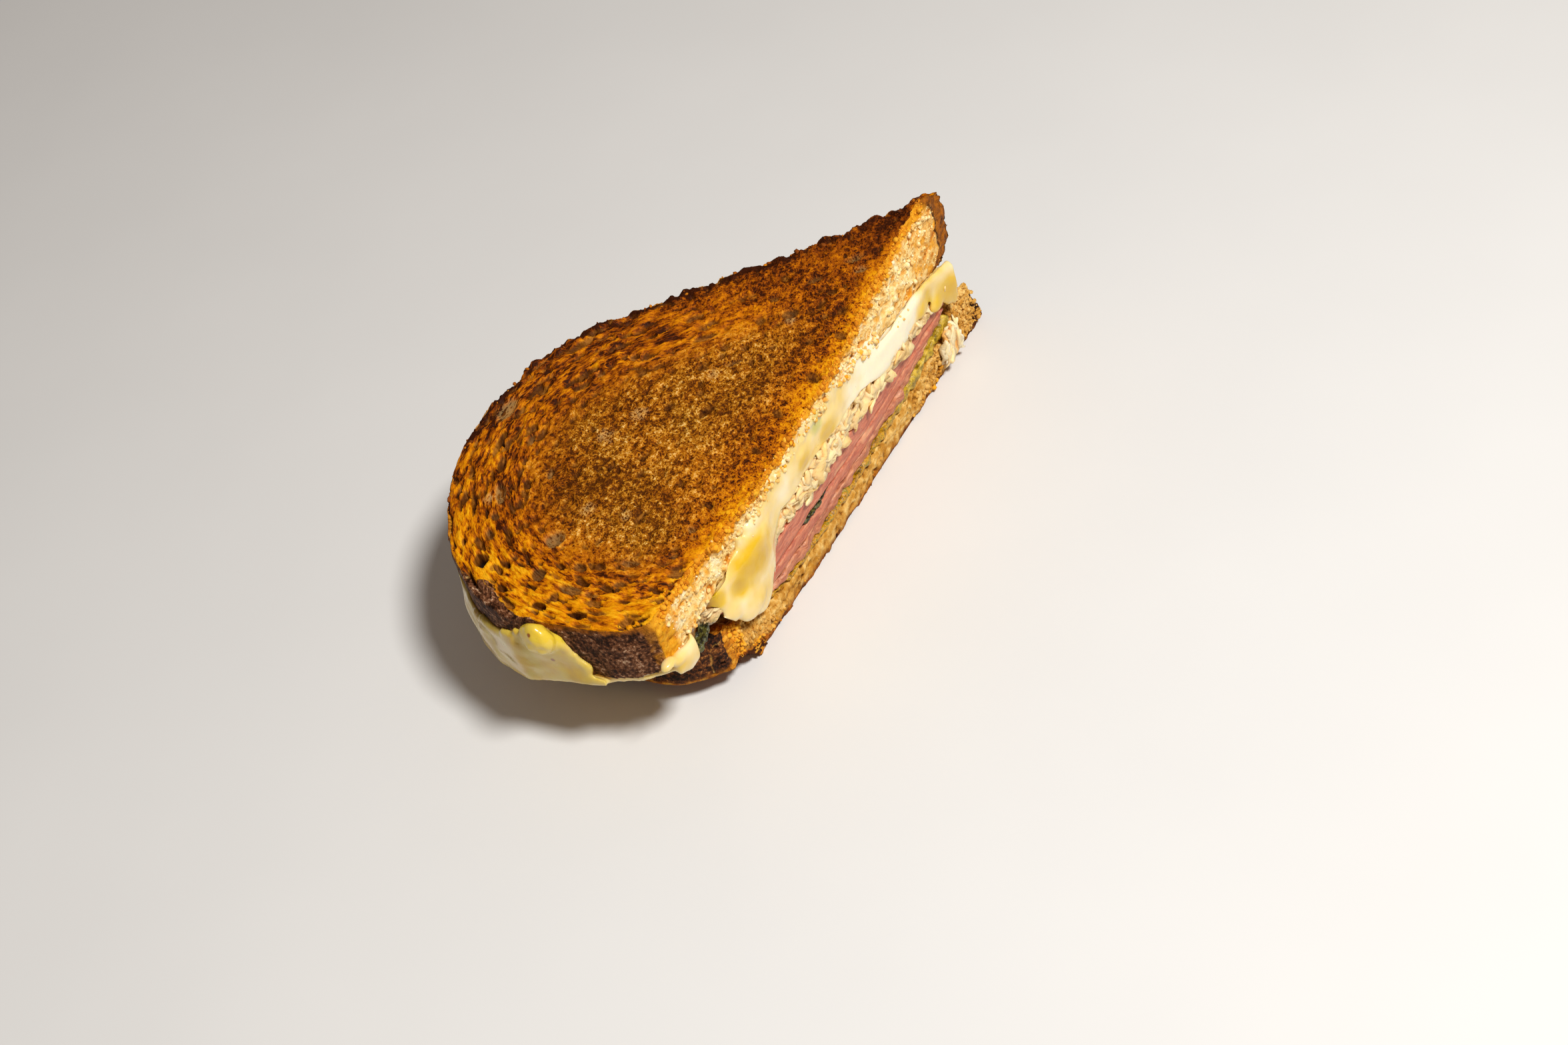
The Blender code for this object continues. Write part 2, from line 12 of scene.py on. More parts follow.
import bmesh
import bpy
import numpy as np
from mathutils import Matrix, Vector
from mathutils.bvhtree import BVHTree


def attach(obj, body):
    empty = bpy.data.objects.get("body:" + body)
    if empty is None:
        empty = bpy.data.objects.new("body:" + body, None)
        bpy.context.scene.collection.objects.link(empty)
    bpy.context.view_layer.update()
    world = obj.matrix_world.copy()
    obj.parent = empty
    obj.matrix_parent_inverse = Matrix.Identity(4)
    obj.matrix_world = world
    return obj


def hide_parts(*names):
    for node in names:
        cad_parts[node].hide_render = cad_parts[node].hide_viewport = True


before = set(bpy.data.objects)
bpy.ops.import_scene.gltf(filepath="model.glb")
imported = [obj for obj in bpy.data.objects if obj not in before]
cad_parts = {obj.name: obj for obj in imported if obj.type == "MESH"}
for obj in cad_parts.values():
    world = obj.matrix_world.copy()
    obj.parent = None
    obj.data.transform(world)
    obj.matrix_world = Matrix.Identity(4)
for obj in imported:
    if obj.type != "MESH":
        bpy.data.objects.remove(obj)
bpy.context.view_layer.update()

# The floor is a plain pale board, far larger than the food, so that its edge is out of sight.
MM = 0.001


def tint(colour):
    """Red, green and blue from 0 to 255 as linear light with full cover. A Shade stays as it is."""
    if isinstance(colour, Shade):
        return colour
    return tuple(((part / 255 + 0.055) / 1.055) ** 2.4 for part in colour) + (1,)


class Shade:
    """A socket of a material. Arithmetic adds Math nodes to it, and node() adds any other node."""

    def __init__(self, tree, socket=None):
        self.tree, self.socket = tree, socket

    def node(self, kind, settings, sockets, output=0):
        """One of the outputs of a new node with these settings and values or Shades going in."""
        made = self.tree.nodes.new("ShaderNode" + kind)
        for name, value in settings.items():
            setattr(made, name, value)
        for name, value in sockets.items():
            self.feed(made.inputs[name], value)
        return Shade(self.tree, made.outputs[output])

    def feed(self, entry, value):
        if isinstance(value, Shade):
            self.tree.links.new(value.socket, entry)
        else:
            entry.default_value = value

    def maths(self, operation, *values):
        return self.node("Math", {"operation": operation}, dict(enumerate(values)))

    def __add__(self, other):
        return self.maths("ADD", self, other)

    def __sub__(self, other):
        return self.maths("SUBTRACT", self, other)

    def __rsub__(self, other):
        return self.maths("SUBTRACT", other, self)

    def __mul__(self, other):
        return self.maths("MULTIPLY", self, other)

    __rmul__ = __mul__

    def rise(self, start, end):
        """0 up to start, 1 from end, smooth between them."""
        sockets = {"Value": self, "From Min": start, "From Max": end}
        return self.node("MapRange", {"interpolation_type": "SMOOTHSTEP"}, sockets)

    def between(self, plain, full):
        """The colour plain where this is 0 and full where it is 1."""
        factor, first, second, mixed = 0, 6, 7, 2
        sockets = {factor: self, first: tint(plain), second: tint(full)}
        return self.node("Mix", {"data_type": "RGBA"}, sockets, mixed)

    def ramp(self, *stops):
        """The colour for this value, from stops of (value, red, green, blue)."""
        made = self.node("ValToRGB", {}, {0: self})
        elements = made.socket.node.color_ramp.elements
        while len(elements) < len(stops):
            elements.new(0.5)
        for element, (value, *colour) in zip(elements, stops):
            element.position, element.color = value, tint(colour)
        return made

    def blend(self, plain, full):
        """The value plain where this is 0 and full where it is 1."""
        return plain + (full - plain) * self

    def noise(self, size, detail=2, roughness=0.5, output=0):
        """Cloudy noise over this place, with features of the given size in millimetres."""
        grain = {"Scale": 1 / (size * MM), "Detail": detail, "Roughness": roughness}
        return self.node("TexNoise", {}, {"Vector": self, **grain}, output)

    def cells(self, size):
        """Distance in a pattern of cells of the given size in millimetres."""
        return self.node("TexVoronoi", {}, {"Vector": self, "Scale": 1 / (size * MM)})

    def warped(self, size, amount):
        """This place, pushed about by up to amount millimetres over lumps of the given size."""
        sockets = {0: self.noise(size, output="Color"), 1: (2 * amount * MM,) * 3, 2: self}
        return self.node("VectorMath", {"operation": "MULTIPLY_ADD"}, sockets)

    def stretched(self, x, y, z):
        """This place scaled on each axis, which draws a pattern out where the scale is below 1."""
        return self.node("Mapping", {}, {"Vector": self, "Scale": (x, y, z)})

    def held(self, attribute):
        """A value kept on the points of the mesh."""
        return self.node("Attribute", {"attribute_name": attribute}, {}, "Fac")

    def relief(self, height, distance):
        """A bump of the given distance in millimetres."""
        return self.node("Bump", {}, {"Height": height, "Distance": distance * MM})


def new_material(name, **constants):
    """A node material with these constants in its shader, and its Object coordinates."""
    material = bpy.data.materials.new(name)
    material.use_nodes = True
    place = Shade(material.node_tree).node("TexCoord", {}, {}, "Object")
    paint(place, **constants)
    return material, place


def paint(place, **values):
    """Puts values into the Principled shader of this place's material."""
    shader = place.tree.nodes["Principled BSDF"]
    for name, value in values.items():
        place.feed(shader.inputs[name.replace("_", " ")], value)


def layered(colour, *layers):
    """A colour with others laid over it, given as (share, colour)."""
    for share, cover in layers:
        colour = share.between(colour, cover)
    return colour


def finished(shape, name):
    """The mesh data of a shape, which is freed."""
    data = bpy.data.meshes.new(name)
    shape.to_mesh(data)
    shape.free()
    return data


def new_object(name, data):
    made = bpy.data.objects.new(name, data)
    bpy.context.scene.collection.objects.link(made)
    return made


FLOOR_REACH = 3

floor_mesh = bmesh.new()
bmesh.ops.create_grid(floor_mesh, x_segments=2, y_segments=2, size=FLOOR_REACH)
board = new_object("floor", finished(floor_mesh, "floor"))
board_material, board_place = new_material("pale_board", Roughness=0.6)
board_cloud = board_place.noise(60, 3)
paint(board_place, Base_Color=board_cloud.between((221, 221, 221), (227, 227, 227)))
board.data.materials.append(board_material)

# Daylight from a small window high in front of the cut, and a warm, dim room all round.
WINDOW_FROM = Vector((-0.09, -0.64, 1))
WINDOW_AWAY, WINDOW_SIZE, WINDOW_POWER = 0.9, 0.17, 8.5
WINDOW_TINT, ROOM_TINT, ROOM_LIGHT = (1, 0.98, 0.94), (1, 0.85, 0.73, 1), 0.2

window_data = bpy.data.lights.new("window", "AREA")
window_data.shape = "DISK"
window_data.size = WINDOW_SIZE
window_data.energy = WINDOW_POWER
window_data.color = WINDOW_TINT
window = new_object("window", window_data)
window.location = WINDOW_FROM.normalized() * WINDOW_AWAY
window.rotation_euler = (-WINDOW_FROM).to_track_quat("-Z", "Y").to_euler()

room = bpy.data.worlds.new("room")
room.use_nodes = True
room_inputs = room.node_tree.nodes["Background"].inputs
room_inputs["Color"].default_value = ROOM_TINT
room_inputs["Strength"].default_value = ROOM_LIGHT
bpy.context.scene.world = room
bpy.context.scene.view_settings.view_transform = "Standard"

# The camera looks down over the near end, tilted so that the cut runs up to the right.
EYE = Vector((-259.37, -243.33, 337.60)) * MM
EYE_RIGHT = Vector((0.4729, -0.8557, -0.2099))
EYE_UP = Vector((0.7001, 0.2203, 0.6792))

camera_data = bpy.data.cameras.new("camera")
camera_data.sensor_width = 36
camera_data.lens = 50
camera_data.clip_start = 0.01
camera_data.clip_end = 20
camera = new_object("camera", camera_data)
eye_back = EYE_RIGHT.cross(EYE_UP).normalized()
camera.matrix_world = Matrix.Translation(EYE) @ Matrix(
    (EYE_RIGHT, eye_back.cross(EYE_RIGHT), eye_back)
).transposed().to_4x4()
bpy.context.scene.camera = camera


# The lower slice is rye bread, cut from a round-ended loaf and fried on its underside. The filling
# has soaked its crumb yellow at the cut, and its near end curls up off the board.
# A slice's crust line is an arc round its near end and a straight flank that faces out at an angle.
PLAN_START = np.array((0.15, -32.45, 0))
END_CENTRE, END_RADIUS = np.array((-26.0, 20.0)), 46.2
FLANK_ANGLE = math.radians(43.3)
LOW_SHIFT = 9.5
MERGE_WITHIN, WIDE_BLOB = 0.002, 3


def even_copy(node, cell, smooth=0, blobs=()):
    """A merged copy of a node's solid, with rounded blobs of (centre, radii, turn) grown on to it,
    made again of even cells so that its surface can be worked. Gives its mesh and its points."""
    mesh = bmesh.new()
    mesh.from_mesh(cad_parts[node].data)
    bmesh.ops.remove_doubles(mesh, verts=mesh.verts, dist=MERGE_WITHIN * MM)
    for centre, radii, turn in blobs:
        shape = Matrix.Translation(Vector((np.array(centre) + PLAN_START) * MM))
        shape = shape @ Matrix.Rotation(turn, 4, "Z") @ Matrix.Diagonal((*radii, 1))
        fine = 3 if max(radii) > WIDE_BLOB else 2
        bmesh.ops.create_icosphere(mesh, subdivisions=fine, radius=MM, matrix=shape)
    blank = new_object("blank", finished(mesh, node))
    even = blank.modifiers.new("even", "REMESH")
    even.mode = "VOXEL"
    even.voxel_size = cell * MM
    blank.modifiers.new("soft", "SMOOTH").iterations = smooth
    graph = bpy.context.evaluated_depsgraph_get()
    worked = bpy.data.meshes.new_from_object(blank.evaluated_get(graph))
    bpy.data.objects.remove(blank)
    return worked, *points_of(worked)


def points_of(data):
    """The places of a mesh's points in the plan, in millimetres, and the way each one faces."""
    places, facing = np.empty((2, len(data.vertices), 3))
    data.vertices.foreach_get("co", places.ravel())
    data.vertex_normals.foreach_get("vector", facing.ravel())
    return places / MM - PLAN_START, facing


def set_points(data, places):
    data.vertices.foreach_set("co", ((places + PLAN_START) * MM).ravel())
    data.update()


def keep(data, **values):
    """Keeps values on the points of a mesh, for its material."""
    for name, value in values.items():
        data.attributes.new(name, "FLOAT", "POINT").data.foreach_set(
            "value", np.asarray(value, np.float32)
        )


def rise(value, start, end):
    """0 up to start, 1 from end, smooth between them. start may be the higher of the two."""
    share = np.clip((value - start) / (end - start), 0, 1)
    return share * share * (3 - 2 * share)


def span(value, start, full, fade, end):
    """1 from full to fade, falling smoothly to 0 at start and at end."""
    return rise(value, start, full) * rise(value, end, fade)


def scatter(cell, seed):
    """An even random value from 0 to 1 for each whole-numbered cell."""
    mixed = cell[:, 0] * 73856093 ^ cell[:, 1] * 19349663 ^ cell[:, 2] * 83492791 ^ seed * 15485863
    mixed = (mixed ^ mixed >> 13) * 1274126177
    return ((mixed ^ mixed >> 16) & 0xFFFFFF) / 0xFFFFFF


def lumps(places, size, seed, turns=1):
    """Smooth noise from about -1 to 1 over lumps of the given size, with finer turns added."""
    total = np.zeros(len(places))
    for turn in range(turns):
        spot = places / (size / 2 ** turn) + 17.3 * (seed + turn)
        corner = np.floor(spot).astype(np.int64)
        part = spot - corner
        part = part * part * (3 - 2 * part)
        for side in itertools.product((0, 1), repeat=3):
            weight = np.prod(np.where(side, part, 1 - part), axis=1)
            total += weight * (2 * scatter(corner + np.array(side), seed) - 1) / 2 ** turn
    return total


def cells(places, size, seed):
    """Distance to the nearest of points strewn one to a cell, as a share of the cell's size, and
    the random value of that point. Points on flat places lie in their own plane."""
    spot = places / size
    corner = np.floor(spot).astype(np.int64)
    nearest = np.full(len(places), 9.0)
    own = np.zeros(len(places))
    flat = not places[:, 2].any()
    for side in itertools.product((-1, 0, 1), repeat=3):
        cell = corner + np.array(side)
        point = cell + np.stack([scatter(cell, seed + turn) for turn in range(3)], axis=1)
        if flat:
            point[:, 2] = cell[:, 2]
        distance = np.linalg.norm(spot - point, axis=1)
        closer = distance < nearest
        own = np.where(closer, scatter(cell, seed + 3), own)
        nearest = np.where(closer, distance, nearest)
    return nearest, own


def pores(places, size, seed, share, least=0.2, most=0.46):
    """Bowls from 0 at the rim to 1 at the bottom, in this share of the cells."""
    nearest, own = cells(places, size, seed)
    radius = np.where(own < share, least + (most - least) * (own * 37 % 1), 0.01)
    return np.sqrt(np.clip(1 - (nearest / radius) ** 2, 0, 1)) * (own < share)


def by_the_crust(places, shift=0):
    """How far inside the crust line each place lies, and how far along it."""
    plan = places[:, :2]
    outward = np.array((math.cos(FLANK_ANGLE), math.sin(FLANK_ANGLE)))
    along = np.array((outward[1], -outward[0]))
    centre = END_CENTRE + (shift, 0)
    leave = centre + END_RADIUS * outward
    run = (plan - leave) @ along
    spoke = plan - centre
    angle = np.arctan2(spoke[:, 1], spoke[:, 0])
    angle = np.where(angle < -math.pi / 2, angle + math.tau, angle)
    straight = (run > 0) & (spoke[:, 0] > 0)
    inside = END_RADIUS - np.linalg.norm(spoke, axis=1)
    inside = np.where(straight, (leave - plan) @ outward, inside)
    return inside, np.where(straight, run, (FLANK_ANGLE - angle) * END_RADIUS)


def sides_of_slice(places, facing, grilled):
    """Shares of each point that belong to the grilled face, the cut and the crust."""
    toast = rise(facing[:, 2] * grilled, 0.5, 0.85)
    cut = rise(-facing[:, 1], 0.45, 0.8) * rise(places[:, 1], 3.5, 1.5)
    return toast, cut, rise(np.abs(facing[:, 2]), 0.75, 0.45) * (1 - cut)


def show(data, name, material, slot, *nodes):
    """Makes the finished piece, which rides on the food's one body in place of these nodes."""
    piece = new_object(name, data)
    data.materials.append(material)
    data.polygons.foreach_set("use_smooth", [True] * len(data.polygons))
    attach(piece, "root")
    if nodes:
        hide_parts(*nodes)


def crumb_colour(place, looks):
    """Open crumb: pale cell walls, pits and holes painted darker as their shade, and patches soaked
    with butter and fat. The looks are its darkest tone, also the pits' painted shade, its tan and
    pale walls, the brightest grains, and its soaked patches."""
    pit, tan, pale, bright, soaked = looks
    grain = place.noise(1.5, 3, 0.55)
    hole = place.warped(1.5, 0.5).cells(2.3).rise(0.3, 0.12) * place.noise(3).rise(0.4, 0.6)
    level = (grain - 0.5) * 1.1 + (place.noise(3.4, 2, 0.6) - 0.5) * 0.7 + 0.62
    # Pores and small holes are painted darker, as painted shade in the crumb's hollows.
    level = level - place.held("pore").rise(0.1, 0.9) * 0.34 - hole * 0.25
    colour = level.ramp((0.16, *pit), (0.42, *tan), (0.62, *pale), (0.84, *bright))
    wet = place.noise(4, 4, 0.62).rise(0.53, 0.66) * 0.75
    return wet.between(colour, soaked), grain


def crust_colour(place, looks):
    """Baked crust: dark, dull and finely cracked, with flour left in its grain. The looks are its
    cracks, its own brown, a lighter brown and the flour."""
    crack, dark, lighter, flour = looks
    cloud = place.noise(3.4, 5, 0.7)
    speck = place.noise(0.8, 4, 0.66)
    level = (cloud - 0.5) * 1.5 + (speck - 0.5) * 2 + 0.46
    colour = level.ramp((0.22, *crack), (0.46, *dark), (0.7, *lighter), (0.95, *flour))
    return colour, cloud * 0.7 + speck * 0.6


def grains(places, facing, weight, number, sizes, seed):
    """Rounded grains set part of their depth into a surface, where it has weight. Gives their mesh,
    the surface point of each, and a random value of each."""
    draw = np.random.default_rng(seed)
    chosen = draw.choice(len(places), number, p=weight / weight.sum())
    ball = bmesh.new()
    bmesh.ops.create_icosphere(ball, subdivisions=1, radius=1)
    corners = np.array([point.co for point in ball.verts])
    sides = np.array([[point.index for point in side.verts] for side in ball.faces])
    ball.free()
    turned = np.linalg.qr(draw.normal(size=(number, 3, 3)))[0]
    turned[:, :, 0] *= np.linalg.det(turned)[:, None]
    radius = sizes[0] + (sizes[1] - sizes[0]) * draw.random((number, 1, 1)) ** 3
    shape = corners * radius * draw.uniform(0.6, 1.2, (number, 1, 3))
    shape = shape * draw.uniform(0.85, 1.15, (number, len(corners), 1)) @ turned
    sunk = radius[:, 0] * draw.uniform(-0.5, 0.45, (number, 1))
    shape += (places[chosen] + facing[chosen] * sunk)[:, None]
    data = bpy.data.meshes.new("grains")
    sides = sides + len(corners) * np.arange(number)[:, None, None]
    data.from_pydata(
        ((shape + PLAN_START) * MM).reshape(-1, 3).tolist(), [], sides.reshape(-1, 3).tolist()
    )
    return data, chosen, draw.random(number)


def keep_baked(grain_data, baked):
    """Keeps how far each grain is baked, on every corner of that grain."""
    keep(grain_data, baked=np.repeat(baked, len(grain_data.vertices) // len(baked)))


LOW_CELL, CURL_RISE = 0.5, 5.6
low_data, low_places, low_facing = even_copy("bread_bottom", LOW_CELL)
low_x, low_y, low_z = low_places.T
low_toast, low_cut, low_crust = sides_of_slice(low_places, low_facing, -1)
low_inside, _ = by_the_crust(low_places, LOW_SHIFT)
low_curl = CURL_RISE * rise(-low_x, 17, 38) * (1 - rise(low_inside, 10, 25))
low_rim = np.exp(-np.maximum(low_z - low_curl, 0) / 1.6)
low_round = low_places * (0.8, 1, 1.15)
low_pit = 0.9 * pores(low_round, 1.5, 11, 0.8) + 0.8 * pores(low_round, 2.7, 12, 0.45)
low_open = np.clip(low_cut + rise(low_facing[:, 2], 0.4, 0.8), 0, 1)

# The crust closes both tips of the cut, with a fried golden band before it at the near one.
low_near = -low_x + 1.5 * lumps(low_places, 3, 18)
low_tips = rise(low_x + lumps(low_places, 2.2, 17), 65.5, 68.5) + rise(low_near, 43.5, 46)
low_gold = low_open * span(low_near, 39.5, 42.5, 45, 47)
low_gold = np.maximum(low_gold, 0.8 * low_rim * rise(low_near, 30, 38))
low_crust = np.maximum(low_crust, low_open * low_tips)
low_push = -low_pit * low_open + 0.4 * lumps(low_places, 2.6, 13, 3) * low_open
low_push += low_crust * (0.35 * lumps(low_places, 4.5, 14, 3) - 0.12)
low_push += low_toast * 0.2 * lumps(low_places, 2.2, 15, 2) * rise(low_z, 0.3, 1.5)
low_places += low_facing * low_push[:, None]
set_points(low_data, low_places)
keep(
    low_data,
    pore=low_pit * low_open * rise(low_x, 58, 44),
    crust=low_crust, toast=low_toast, rim=low_rim, gold=low_gold,
)

low_material, low_place = new_material("soaked_rye", Roughness=0.85, Specular_IOR_Level=0.2)
LOW_LOOKS = ((112, 64, 14), (178, 120, 38), (208, 156, 72), (232, 194, 118), (190, 126, 18))
low_crumb, low_height = crumb_colour(low_place, LOW_LOOKS)
low_bark, low_bark_height = crust_colour(
    low_place, ((24, 11, 5), (66, 34, 16), (118, 66, 26), (194, 132, 66))
)
low_fried = low_place.noise(1.8, 5, 0.68).ramp(
    (0.34, 70, 30, 6), (0.5, 134, 70, 10), (0.66, 196, 122, 24)
)
low_edge = (low_place.noise(2.2, 3) - 0.5) * 0.5
low_on_crust = low_place.held("crust")
low_golden = low_place.noise(1.6, 4, 0.6).ramp(
    (0.34, 134, 70, 8), (0.5, 204, 126, 18), (0.68, 238, 176, 62)
)
low_colour = layered(
    low_crumb,
    ((low_on_crust + low_edge).rise(0.35, 0.65), low_bark),
    ((low_place.held("rim") + low_edge).rise(0.2, 0.75), low_fried),
    ((low_place.held("gold") + low_edge).rise(0.3, 0.7), low_golden),
    (low_place.held("toast"), low_fried),
)
low_relief = low_place.relief(low_height + low_bark_height * low_on_crust, 0.8)
paint(low_place, Base_Color=low_colour, Normal=low_relief)
show(low_data, "bread_bottom_crumb", low_material, "toast", "bread_bottom")

# Grains of crumb stand out of its cut, off the board, golden where the slice is fried.
low_weight = low_open * rise(low_y + 0.5 * low_inside, 14, 2) + 0.02 * low_rim
low_weight *= rise(low_z, 0.9, 1.7) * rise(low_near, 45, 43)
low_grains, low_chosen, low_own = grains(low_places, low_facing, low_weight, 2200, (0.2, 0.75), 16)
low_baked = 0.15 * low_own + 0.75 * rise(low_rim[low_chosen], 0.2, 0.8)
keep_baked(low_grains, low_baked + 0.3 * low_gold[low_chosen])


def grain_looks(name, looks):
    """Material of loose grains: the crumb's own colours, fried golden or burnt where baked."""
    material, place = new_material(name, Roughness=0.85, Specular_IOR_Level=0.2)
    crumb, height = crumb_colour(place, looks)
    fried = (place.held("baked") + (height - 0.5) * 0.5).ramp(
        (0.3, 236, 170, 40), (0.5, 206, 124, 12), (0.75, 140, 70, 8), (1, 64, 30, 8),
    )
    colour = place.held("baked").rise(0.12, 0.3).between(crumb, fried)
    paint(place, Base_Color=colour, Normal=place.relief(height, 0.4))
    return material


show(low_grains, "crumb_grains_bottom", grain_looks("soaked_grains", LOW_LOOKS), "toast")


# The relish is a thin spread of chopped gherkin and mustard on the lower slice, under the beef. It
# has run to the cut edge, brown and grainy near the thick end and greener at the far one.
relish_data, relish_places, relish_facing = even_copy("relish", 0.5)
relish_x, relish_y, _ = relish_places.T
relish_front = rise(relish_y, 6, 1)
relish_push = 0.6 * lumps(relish_places, 1.9, 21, 2) * relish_front
relish_push += 0.5 * (0.5 - cells(relish_places, 1.7, 22)[0]) * relish_front
relish_places[:, 1] -= 0.4 * relish_front
set_points(relish_data, relish_places + relish_facing * relish_push[:, None])
keep(relish_data, green=rise(relish_x + 6 * lumps(relish_places, 5, 23), 22, 42))
relish_material, relish_place = new_material("relish", Roughness=0.32)
relish_colour = relish_place.noise(1.3, 3, 0.6).ramp(
    (0.32, 92, 70, 10), (0.42, 158, 110, 14), (0.52, 204, 148, 22), (0.6, 128, 118, 34),
    (0.68, 196, 152, 34), (0.78, 236, 202, 116),
)
relish_green = relish_place.noise(1.6, 3, 0.6).ramp(
    (0.36, 112, 92, 14), (0.5, 186, 156, 36), (0.62, 222, 190, 66), (0.76, 244, 222, 130),
)
relish_colour = (relish_place.held("green") * 0.8).between(relish_colour, relish_green)
relish_relief = relish_place.relief(relish_place.noise(0.6, 3), 0.4)
paint(relish_place, Base_Color=relish_colour, Normal=relish_relief)
show(relish_data, "relish_spread", relish_material, "relish", "relish")


# The beef is salt beef, boiled and carved in slices a few millimetres thick. Its fibres run along
# the slice, threads of fat lie in it, and the lowest slice is ragged where it was pulled apart.
BEEF_CELL, BEEF_SHIFT = 0.5, 7
BEEF_DEEP, BEEF_FAT, BEEF_RAW = (172, 88, 66), (238, 186, 140), (138, 56, 46)


def slice_beef(node, seed, ragged, lean, deep=BEEF_DEEP):
    """One slice of beef: how ragged it is at the cut, and its lean and deep colours."""
    data, places, facing = even_copy(node, BEEF_CELL)
    inside, _ = by_the_crust(places, BEEF_SHIFT)
    open_side = np.maximum(rise(places[:, 1], 4, 0.8), rise(inside, 12, 7))
    fibres = lumps(places * (0.28, 0.28, 1.6), 1.6, seed, 2)
    torn = lumps(places, 2.4, seed + 1, 3)
    push = open_side * (0.14 * fibres + ragged * torn)
    front = rise(-facing[:, 1], 0.3, 0.8) * rise(places[:, 1], 3, 1)
    push += front * ragged * 1.3 * np.clip(lumps(places, 3.4, seed + 2, 2), -0.6, 0.8)
    set_points(data, places + facing * push[:, None])
    keep(data, edge=front * rise(np.abs(facing[:, 2]), 0.2, 0.55))
    material, place = new_material(
        node + "_meat",
        Subsurface_Weight=0.15, Subsurface_Scale=0.002, Subsurface_Radius=(1, 0.4, 0.3),
    )
    thread = place.warped(5, 0.9).stretched(0.22, 0.5, 1.5)
    fibre = thread.noise(0.8, 4, 0.62)
    seam = place.warped(4, 1).stretched(0.25, 0.4, 1).noise(2.6, 2).rise(0.6, 0.72)
    colour = layered(
        deep,
        (fibre.rise(0.3, 0.7), lean),
        (seam * 0.45, BEEF_FAT),
        (place.noise(2, 3, 0.6).rise(0.56, 0.72) * 0.5, BEEF_RAW),
        (place.held("edge") * place.noise(1.5, 2).rise(0.4, 0.6) * 0.35, BEEF_FAT),
    )
    glaze = place.noise(1.3, 2).rise(0.3, 0.7)
    paint(
        place,
        Base_Color=colour,
        Roughness=glaze * 0.25 + 0.32,
        Normal=place.relief(fibre + 0.5 * place.noise(0.5, 3), 0.28),
    )
    show(data, node + "_slice", material, "beef", node)


slice_beef("beef_lower", 31, 0.5, (208, 136, 98), (154, 82, 56))
slice_beef("beef_middle", 35, 0.12, (210, 128, 94))
slice_beef("beef_upper", 39, 0.1, (212, 130, 98))


# Sauerkraut is white cabbage in shreds a millimetre or two wide, soured in brine until it is straw-
# coloured and half clear. Here it is a heap pressed flat, its shreds hanging out at the sides.
STRAND_STEPS = 9
# Shreds this near the cut may hang out of it between two places along it.
CUT_DEPTH, HANG_START, HANG_END = 3, -12, 44


def straight_ribbon():
    """A ribbon one long, one wide and one thick, with steps along it where it can bend."""
    ribbon = bmesh.new()
    bmesh.ops.create_cube(ribbon, size=1)
    long_edges = [e for e in ribbon.edges if abs((e.verts[0].co - e.verts[1].co).x) > 0.5]
    bmesh.ops.subdivide_edges(ribbon, edges=long_edges, cuts=STRAND_STEPS)
    return finished(ribbon, "ribbon")


def strands(wall, number, length, width, seed, where, tilts=(0, 0.6), spare=0.45, fall=0):
    """Bent, twisted ribbons lying on the open sides of a mesh where they may, sloped by a mean and
    a spread, each within the mesh's height there less a spare edge. Half of those at the cut stand
    out and reach further up and down, by fall. Gives their mesh, its points and those of one."""
    draw = random.Random(seed)
    places, facing = wall
    sides = np.flatnonzero(np.abs(facing[:, 2]) < 0.6)
    open_points = [index for index in sides if where(places[index])]
    template = straight_ribbon()
    local = np.array([point.co for point in template.vertices])
    heap = bmesh.new()
    shapes = []
    for _ in range(number):
        index = draw.choice(open_points)
        centre, out = places[index].copy(), facing[index].copy()
        out[2] = 0
        out /= np.linalg.norm(out)
        beside = places[np.linalg.norm(places[:, :2] - centre[:2], axis=1) < 2.5]
        low, high = beside[:, 2].min() + spare, beside[:, 2].max() - spare
        hanging = fall and draw.random() < 0.5
        if hanging and HANG_START < centre[0] < HANG_END and centre[1] < CUT_DEPTH:
            low, high = low - fall, high + fall
            centre += (0, -draw.uniform(0.3, 1.1), draw.uniform(-0.6, 0.9) * fall)
        long = draw.uniform(*length)
        broad = draw.uniform(*width)
        thick = draw.uniform(0.45, 0.8)
        tilt = draw.gauss(*tilts)
        level = np.cross((0, 0, 1), out)
        way = level * math.cos(tilt) + np.array((0, 0, math.sin(tilt)))
        across = np.cross(out, way)
        share = local[:, 0]
        bend = draw.uniform(-0.7, 0.7) * long
        dip = draw.uniform(-0.12, 0.3) * long
        wave = draw.uniform(0.1, 0.5)
        twist = draw.uniform(-1, 1) + draw.uniform(-1.5, 1.5) * share
        taper = 1 - 0.55 * np.abs(2 * share) ** 5
        flat = local[:, 1] * broad * taper
        deep = local[:, 2] * thick * taper
        aside = bend * share * share + wave * np.sin(share * 11 + bend)
        aside += flat * np.cos(twist) - deep * np.sin(twist)
        proud = draw.uniform(0, 0.35) - dip * share * share
        proud += flat * np.sin(twist) + deep * np.cos(twist)
        shape = centre + np.stack([share * long, aside, proud], axis=1) @ (way, across, out)
        middle = (low + high) / 2
        half = max((high - low) / 2, 0.5)
        over = (shape[:, 2] - middle) / half
        eased = np.sign(over) * (0.8 + 0.2 * np.tanh((np.abs(over) - 0.8) / 0.2))
        shape[:, 2] = middle + half * np.where(np.abs(over) > 0.8, eased, over)
        shapes.append(shape)
        heap.from_mesh(template)
    bpy.data.meshes.remove(template)
    return heap, np.concatenate(shapes), len(local)


